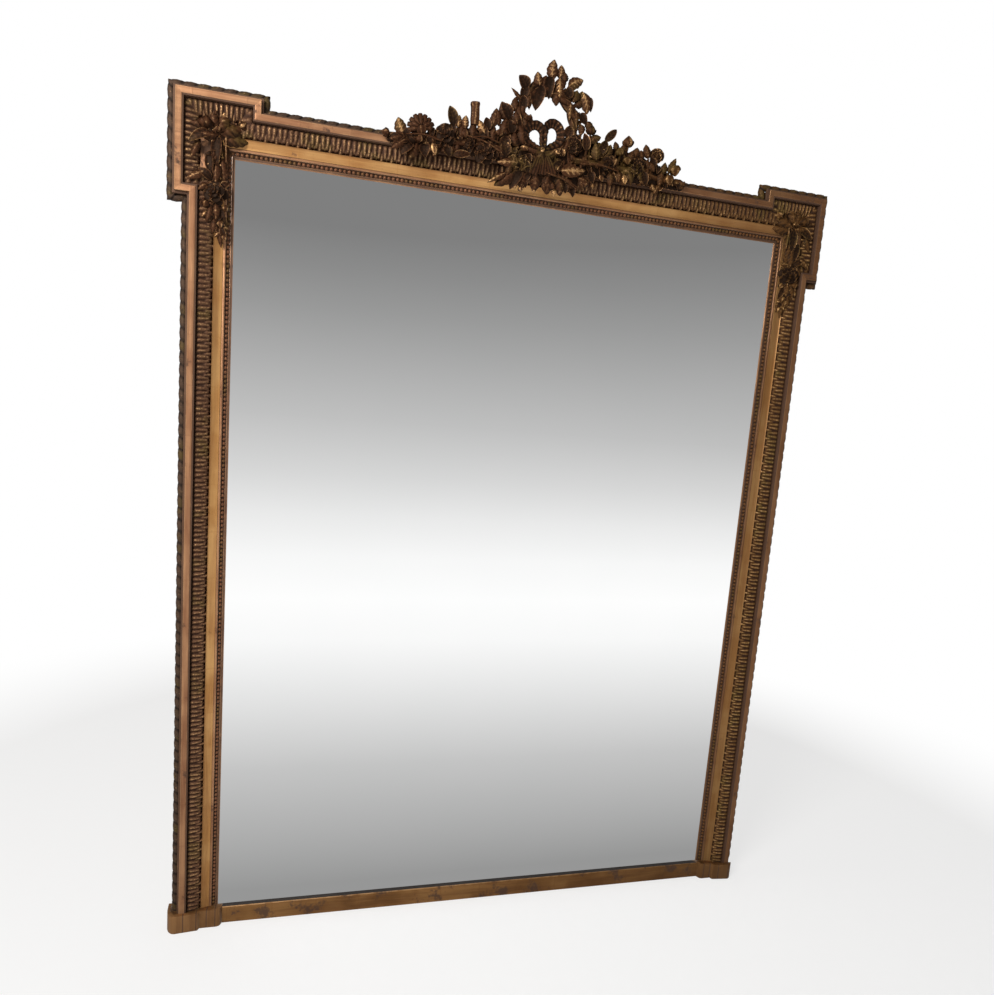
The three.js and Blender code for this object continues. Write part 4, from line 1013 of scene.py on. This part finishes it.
BOW = table("""
    leaf -46 -40 -3 -17 11 1.1 2; leaf -12 -44 2 -15 11 1.0 2; leaf 26 -44 3 -15 11 1.1 2; leaf -30 -38 3 -13 10 0.3 5;
    leaf 6 -38 4 -15 10 0.25 5; leaf -60 -16 -6 -18 13 0.2 5; leaf -22 -26 -8 -16 12 0.2 6; leaf 16 -26 -8 -18 12 0.1 6;
    leaf 36 -28 8 -17 12 0.2 5; leaf 44 46 5 23 19 0.4 3; rose 59 41 0 0 18 0.2 4; leaf 0 19 0 39 15 0.12 3;
    leaf -69 -3 -8 26 20 0.3 4; leaf -67 -31 -34 -21 12 0.5 6; leaf -49 -24 -39 -31 24 0.08 3;
    leaf -38 -24 -20 -34 20 0.1 4; acanthus -34 -24 -1 -31 20 0.22 4; acanthus -9 -24 -1 -31 20 0.18 5;
    acanthus 12 -21 4 -36 22 0.14 4; acanthus 34 -17 8 -39 20 0.14 4; leaf 51 -21 12 -28 17 0.15 3;
    leaf -26 -25 -4 22 12 0.3 6; bud -38 -52 3 -7 5.5 0.75 4; bud 29 -13 6 9 6 0.6 8; bud -4 15 8 6 5.2 0.9 8;
    bud 25 21 9 -4 5.6 0.8 8; leaf 13 13 25 15 11 0.4 6; leaf 20 -12 20 20 13 0.15 4; leaf 73 -19 24 -6 12 0.4 3;
    stem 10 -19 76 -23 2.2 0.45 10; stem -38 -23 20 9 1.8 0.5 9; bud 103 -26 4 -10 6.1 0.5 4; bud 89 -25 -2 -10 7 0.4 4
""", CREST_DATUM)

# The uneven top of the ground behind each group of carvings.
TOPS_LEFT = list(zip(
    (-286, -262, -228, -202, -165, -128, -100, -52), (1499, 1504, 1512, 1517, 1527, 1537, 1538, 1540)
))
TOPS_RIGHT = list(zip(
    (62, 86, 120, 154, 187, 208, 239, 262, 292), (1546, 1552, 1544, 1540, 1538, 1534, 1526, 1512, 1502)
))
TOPS_BOW = list(zip((-72, -50, -36, -24, 0, 20, 36, 60, 74), (1530, 1532, 1530, 1524, 1522, 1526, 1540, 1556, 1548)))


def loops_of_bow():
    """Two fluted loops, their knot and three tails."""
    forms = []
    knot = sighted(-2, 1509, 44)
    for outline in (
        [(0, 1518), (-17, 1523), (-31, 1531), (-34, 1545), (-26, 1555), (-14, 1558), (-3, 1550), (0, 1534), (0, 1519)],
        [(0, 1518), (15, 1526), (29, 1535), (32, 1550), (26, 1562), (14, 1566), (4, 1559), (1, 1540), (0, 1520)],
    ):
        path = curved([sighted(x, z, 42) for x, z in outline], 91)
        centre = path.mean(0)
        outward = path - centre
        outward[:, 1] = 0
        outward /= np.linalg.norm(outward, axis=1, keepdims=True)
        width = 16 - 5 * np.abs(np.linspace(-1, 1, 91)) ** 3
        forms.append(ribbon(path, outward * 0.85 + (0, 0.55, 0), width, 3.4, 2, 0.15, 15))
    forms += bud(knot + (0, -8, -2), knot + (0, 7, 1), 9, 0.3, 0, 5)
    for foot, tip in (((-6, 1508), (-16, 1474)), ((2, 1508), (2, 1476)), ((8, 1508), (22, 1478))):
        low, high = sighted(*foot, 42), sighted(*tip, 45)
        path = curved([low, (low + high) / 2 + (0, 3, 0), high], 12)
        forms.append(ribbon(path, (1, 0.15, 0), np.linspace(9.9, 18, 12), 3.2, 3, 0.3))
    return forms


WREATH_X, WREATH_Z, WREATH_RADIUS = 5, 1569, 53


def vines(forward):
    """Three woody stems twisted together round the opening of the wreath."""
    forms = []
    for strand in range(3):
        angle = np.linspace(-0.62 * pi, 1.62 * pi, 90)
        turn = angle * 4.5 + tau * strand / 3
        radius = WREATH_RADIUS + 4.6 * np.cos(turn)
        path = np.column_stack([
            WREATH_X + radius * np.cos(angle), forward + 4.2 * np.sin(turn), WREATH_Z + radius * np.sin(angle)
        ])
        forms.append(rod_of(path, 5.2, 9, 5, 0.05, 6, 0.22))
    return forms


def crest_ground(_, z):
    """How far forward the crest's ground lies: lower where leaves hang over the plain band."""
    return float(np.interp(z, [1440, 1476], [27, 37.5]))


stem_left = curved([(-52, 36, 1508), (-110, 36, 1512), (-165, 36, 1508), (-225, 35, 1504), (-274, 34, 1502)], 60)
stem_right = curved([(66, 36, 1512), (120, 36, 1514), (180, 36, 1512), (230, 35, 1508), (268, 34, 1503)], 60)
stem_bow = curved([(-58, 34, 1500), (-20, 34, 1492), (20, 34, 1492), (70, 34, 1502)], 40)
ring = np.linspace(0, tau, 80)
stem_wreath = np.column_stack([
    WREATH_X + WREATH_RADIUS * np.cos(ring), np.full(80, 37.0), WREATH_Z + WREATH_RADIUS * np.sin(ring)
])


def spray(items, stem, leafy, tops, seeds):
    """One side's spray: a stem on its bed, leaves and small growth from two seeds, and a table's carvings."""
    forms = [rod_of(stem, np.linspace(6.5, 4, 60), 12, 5, 0.06, 3, 0.2), bed(tops, 1488, BED_BACK, BED_FRONT)]
    forms += ground_leaves(stem[leafy], 18, 24, 18, seeds[0], LEAF_FLOOR) + scattered(tops, 1490, 80, seeds[1])
    return forms + carve(items, stem, CREST_PLANE, crest_ground, 3)


CREST = {
    "crest_spray_left": spray(SPRAY_LEFT, stem_left, slice(4, -8), TOPS_LEFT, (3, 21)),
    "crest_spray_right": spray(SPRAY_RIGHT, stem_right, slice(4, -6), TOPS_RIGHT, (8, 22)),
    "crest_wreath": vines(36.5) + carve(WREATH, stem_wreath, CREST_PLANE, crest_ground, 3),
    "crest_bow": [rod_of(stem_bow, 6, 12, 5, 0.06, 3, 0.2), bed(TOPS_BOW, 1464, BED_BACK, BED_FRONT)]
    + ground_leaves(stem_bow, 16, 28, 20, 11, LEAF_FLOOR) + loops_of_bow()
    + scattered(TOPS_BOW, 1458, 60, 23) + carve(BOW, stem_bow, CREST_PLANE, crest_ground, 3),
}
# Whatever stands further forward than this is pressed back, to stay within the depth of the carving.
PROUD, PRESSED = 48, 0.6
for node, forms in CREST.items():
    for form in forms:
        ahead = form["points"][:, 1]
        form["points"][:, 1] = np.where(ahead > PROUD, PROUD + (ahead - PROUD) * PRESSED, ahead)
    dress(node + "_carved", mesh_of(node, forms), "bronze", [node], sharp=50)


# ---- corner garlands

GARLAND = table("""
    acanthus 22 28 -36 19 30 0.1 5; acanthus 24 30 -8 36 24 0.3 3; acanthus 18 20 -40 5 22 0.12 4;
    bud -8 45 -10 9 7.5 0.7 8; leaf 30 34 8 28 18 0.2 2; bud 46 34 1 21 13 0.05 1; leaf 38 30 36 -18 17 0.35 5;
    leaf 44 40 28 2 16 0.12 2; leaf 28 26 30 2 15 0.25 6; bud 27 33 1 9 6 0.5 9; leaf 56 14 14 -28 13 0.2 3;
    stem 14 28 -1 -42 3 0.6 7; leaf 26 24 2 -44 18 0.1 4; leaf 14 12 -3 -36 13 0.3 3; leaf 20 -8 -3 -38 15 0.2 4;
    leaf 40 -2 -4 -38 14 0.12 3; leaf 28 -16 2 -34 16 0.2 6; leaf 44 -30 32 -16 15 0.45 5; leaf 36 -44 22 16 14 0.3 4;
    leaf 18 -42 -10 18 11 0.3 4; rose 31 -64 0 0 22 0.1 3; leaf 20 -54 -12 8 12 0.55 4; leaf 42 -52 16 -10 13 0.3 4;
    bud 14 -84 -4 -9 6 0.55 4; bud 44 -80 3 -10 6 0.4 4; leaf 28 -82 0 -26 14 0.35 5; leaf 36 -86 8 -26 13 0.2 3;
    leaf 20 -90 -10 -26 12 0.3 3; bud 21 -110 -2 -10 6 0.55 4; leaf 30 -104 4 -26 12 0.12 2;
    leaf 20 -116 -11 -26 11 0.3 2; leaf 22 -116 -3 -37 12 0.3 2; bud 14 -132 -2 -9 5 0.7 4; stem 26 20 2 -70 4.5 0.15 0;
    stem 28 -80 -11 -66 3.2 0.25 0
""")
# How far from the corner of the glass the small leaves spread: height, nearest and farthest.
SPREAD = [(60, 4, 38), (30, -8, 56), (4, 12, 34), (-36, 14, 46), (-64, 12, 50), (-100, 14, 42), (-138, 12, 24)]


def garland_ground(x, _):
    """The height of the mouldings that a garland lies on, low towards the glass."""
    return float(np.interp(abs(x) - HALF_GLASS, [0, 12, 34, 56], [10, 11, 19, 21]))


def garland(sign):
    """One corner's garland: the table's carvings over a scatter of small leaves."""
    dice = random.Random(31)
    heights, nearest, farthest = (list(column) for column in zip(*reversed(SPREAD)))
    items = list(GARLAND)
    for _ in range(120):
        dz = dice.uniform(-138, 58)
        dx = dice.uniform(np.interp(dz, heights, nearest), np.interp(dz, heights, farthest))
        angle = dice.uniform(0, tau)
        tip = max(8, dx + 12 * cos(angle)), dz + 13 * sin(angle)
        size, gilt = dice.uniform(6, 10), dice.choice([0.0, 0.1, 0.2, 0.7])
        items.append(("leaf", (dx, dz), tip, size, gilt, dice.uniform(0.5, 3)))

    def cornered(spot):
        return sign * (HALF_GLASS + spot[0]), GLASS_TOP + spot[1]

    items = [(kind, cornered(foot), cornered(tip), *rest) for kind, foot, tip, *rest in items]
    return carve(items, None, GARLAND_PLANE, garland_ground, 2.5)


for side, sign in (("left", -1), ("right", 1)):
    node = f"corner_garland_{side}"
    dress(node + "_carved", mesh_of(node, garland(sign)), "bronze", [node], sharp=50)


# ---- base, carcass, back and fittings

# The rail's section, as forward and height: a flat front under a rounded crest, and a slope down to the glass.
front, crest, sill = 24.0, 34.0, 26.0
base_profile = section_of(
    [(0.2, 0.0, 0, 1), (front - 0.6, 0.0, 0.2, 0.6), (front, 0.7, 0.6), (front, 12.0), (front, 24.0)]
    + [(front - 0.1, crest - 2.2, 0.3), (front - 0.8, crest - 0.7, 1), (front - 2.0, crest, 1)]
    # The slope carries a hollow of 2, which the gilding paints near-black as shadow.
    + [(front - 3.4, crest - 0.5, 0, 2), (12.0, 30.4, 0, 2), (4.0, 27.0, 0, 2), (0.2, sill, 0, 2)]
)
spans = np.linspace(-530.7, 530.7, 3)
rail_rings = [[(x, f, z) for f, z in base_profile["points"]] for x in spans]
rail = skin(rail_rings, wear=np.tile(base_profile["wear"], (3, 1)), hollow=np.tile(base_profile["hollow"], (3, 1)))
dress("base_rail_finished", mesh_of("base_rail", [rail]), "base_level", ["base_rail"])

for side in ("left", "right"):
    soften(f"foot_block_{side}", 1.4, "base_upright", 3)
    soften(f"stile_{side}", 0.8, "pine_upright")
    soften(f"ear_block_{side}", 0.8, "pine_upright")
    soften(f"ear_panel_{side}", 0.5, "panel")
    soften(f"crest_strap_{side}", 0.5, "iron")
    soften(f"hanger_plate_{side}", 0.3, "brass")
    soften(f"hanging_ring_{side}", 0.3, "brass", body=f"ring_{side}")
for node in ("top_rail", "bottom_rail"):
    soften(node, 0.8, "pine_level")
for board in (1, 2, 3):
    soften(f"back_board_{board}", 0.8, "pine_upright")

# These stand close to the glass and are kept out of its reflections, so that it shows the pale room.
HIDDEN_FROM_GLASS = ("base_rail_finished", "foot_block", "bead_seat", "bead_row", "crest_bow", "corner_garland")
for thing in bpy.context.scene.objects:
    if thing.name.startswith(HIDDEN_FROM_GLASS):
        thing.visible_glossy = False

# CAD nodes that stay as they are, with a finish each.
CARRIED = {"mirror_plate": "silver", "strap_screw": "iron", "hanger_screw": "brass", "glazing_block": "pine_level"}
for name, thing in frame["nodes"].items():
    for start, material in CARRIED.items():
        if name.startswith(start):
            thing.data.materials.clear()
            thing.data.materials.append(finishes[material])


# ---- floor, light and camera


def greys(stops):
    """Stops whose colour is one grey each."""
    return [(place, (grey,) * 3) for place, grey in stops]


def pale_floor():
    """A pale floor that takes the mirror's shadow and whitens into the distance; to glossy rays it is a grey emission,
    a painted reflection for the glass.
    """
    mesh = bpy.data.meshes.new("floor")
    mesh.from_pydata([(-400, -400, 0), (400, -400, 0), (400, 400, 0), (-400, 400, 0)], [], [(0, 1, 2, 3)])
    thing = added("floor", mesh)
    made = bpy.data.materials.new("pale floor")
    tree = emptied(made)
    place = tree.node("ShaderNodeTexCoord").named("Object")
    rays = tree.node("ShaderNodeLightPath")
    grain = tree.noise(place, 40, 4)
    plain = tree.node("ShaderNodeBsdfPrincipled", {
        "Base Color": tree.mixed(grain, (0.9, 0.9, 0.9), (0.93, 0.93, 0.93)), "Roughness": 0.8
    })
    away = place.math("LENGTH").named("Value")
    white = tree.node("ShaderNodeEmission", {"Color": (1, 1, 1), "Strength": 1.0})
    fading = tree.node("ShaderNodeMixShader", {
        0: tree.between(away, 0.3, 2.2).at_least(0.66) * rays.named("Is Camera Ray"), 1: plain, 2: white
    })
    # Painted reflection: the grey that glossy rays see on the floor, graded by nearness to the glass plane.
    nearness = [(0, 0.53), (0.0787, 0.686), (0.139, 0.83), (0.204, 0.947), (0.275, 1.0), (0.351, 0.956), (0.433, 0.83),
                (0.521, 0.694), (0.617, 0.558), (0.725, 0.468), (0.833, 0.386), (0.93, 0.31)]
    near = 1.0 / ((glass_front - place.part("Y")).at_least(0.0) + 1.0)
    shown = tree.node("ShaderNodeEmission", {"Color": tree.mapped(near, greys(nearness)), "Strength": 1.0})
    surface = tree.node("ShaderNodeMixShader", {0: rays.named("Is Glossy Ray"), 1: fading, 2: shown})
    tree.node("ShaderNodeOutputMaterial", {"Surface": surface})
    mesh.materials.append(made)


def soft_room():
    """White where it is seen directly, even and plain as light, and a grey that falls off upwards in gloss."""
    world = bpy.data.worlds.new("soft room")
    bpy.context.scene.world = world
    tree = emptied(world)
    rays = tree.node("ShaderNodeLightPath")
    height = tree.node("ShaderNodeTexCoord").named("Generated").part("Z")
    steps = [(0.0, 0.53), (0.0366, 0.474), (0.0872, 0.397), (0.1374, 0.323), (0.1874, 0.262), (0.2334, 0.215)]
    even = tree.node("ShaderNodeBackground", {"Color": (1.0, 0.985, 0.965), "Strength": 0.37})
    shown = tree.node("ShaderNodeBackground", {"Color": tree.mapped(height, greys(steps)), "Strength": 1.0})
    white = tree.node("ShaderNodeBackground", {"Color": (1, 1, 1), "Strength": 1.0})
    lit = tree.node("ShaderNodeMixShader", {0: rays.named("Is Glossy Ray"), 1: even, 2: shown})
    seen = tree.node("ShaderNodeMixShader", {0: rays.named("Is Camera Ray"), 1: lit, 2: white})
    tree.node("ShaderNodeOutputWorld", {"Surface": seen})


def lamp(name, place, aim, size, watts, colour):
    """A square lamp turned to what it is aimed at."""
    light = bpy.data.lights.new(name, "AREA")
    light.shape = "SQUARE"
    light.size = size
    light.energy = watts
    light.color = colour
    thing = added(name, light)
    thing.location = place
    thing.rotation_euler = (Vector(aim) - Vector(place)).to_track_quat("-Z", "Y").to_euler()


# The picture's size, its middle, the point the camera looks along and the focal length, in pixels.
PICTURE, MIDDLE, AXIS, FOCAL = 995, (497, 497.5), (466.91, 534.84), 729.55
SENSOR = 36


def viewpoint():
    """A camera left of the mirror, above its middle and turned towards it."""
    data = bpy.data.cameras.new("viewpoint")
    data.sensor_width = SENSOR
    data.lens = FOCAL / PICTURE * SENSOR
    data.shift_x = (MIDDLE[0] - AXIS[0]) / PICTURE
    data.shift_y = (AXIS[1] - MIDDLE[1]) / PICTURE
    ahead = Vector((0.2549, 0.9558, -0.1466)).normalized()
    down = Vector((0.0321, -0.1599, -0.9866)).normalized()
    right = down.cross(ahead).normalized()
    down = ahead.cross(right)
    thing = added("viewpoint", data)
    thing.matrix_world = Matrix.Translation(eye) @ Matrix((right, -down, -ahead)).transposed().to_4x4()
    bpy.context.scene.camera = thing


pale_floor()
soft_room()
lamp("key", (-1.75, -1.65, 2.05), (0, 0, 0.85), 1.0, 56, (1.0, 0.98, 0.95))
viewpoint()
bpy.context.scene.view_settings.view_transform = "Standard"
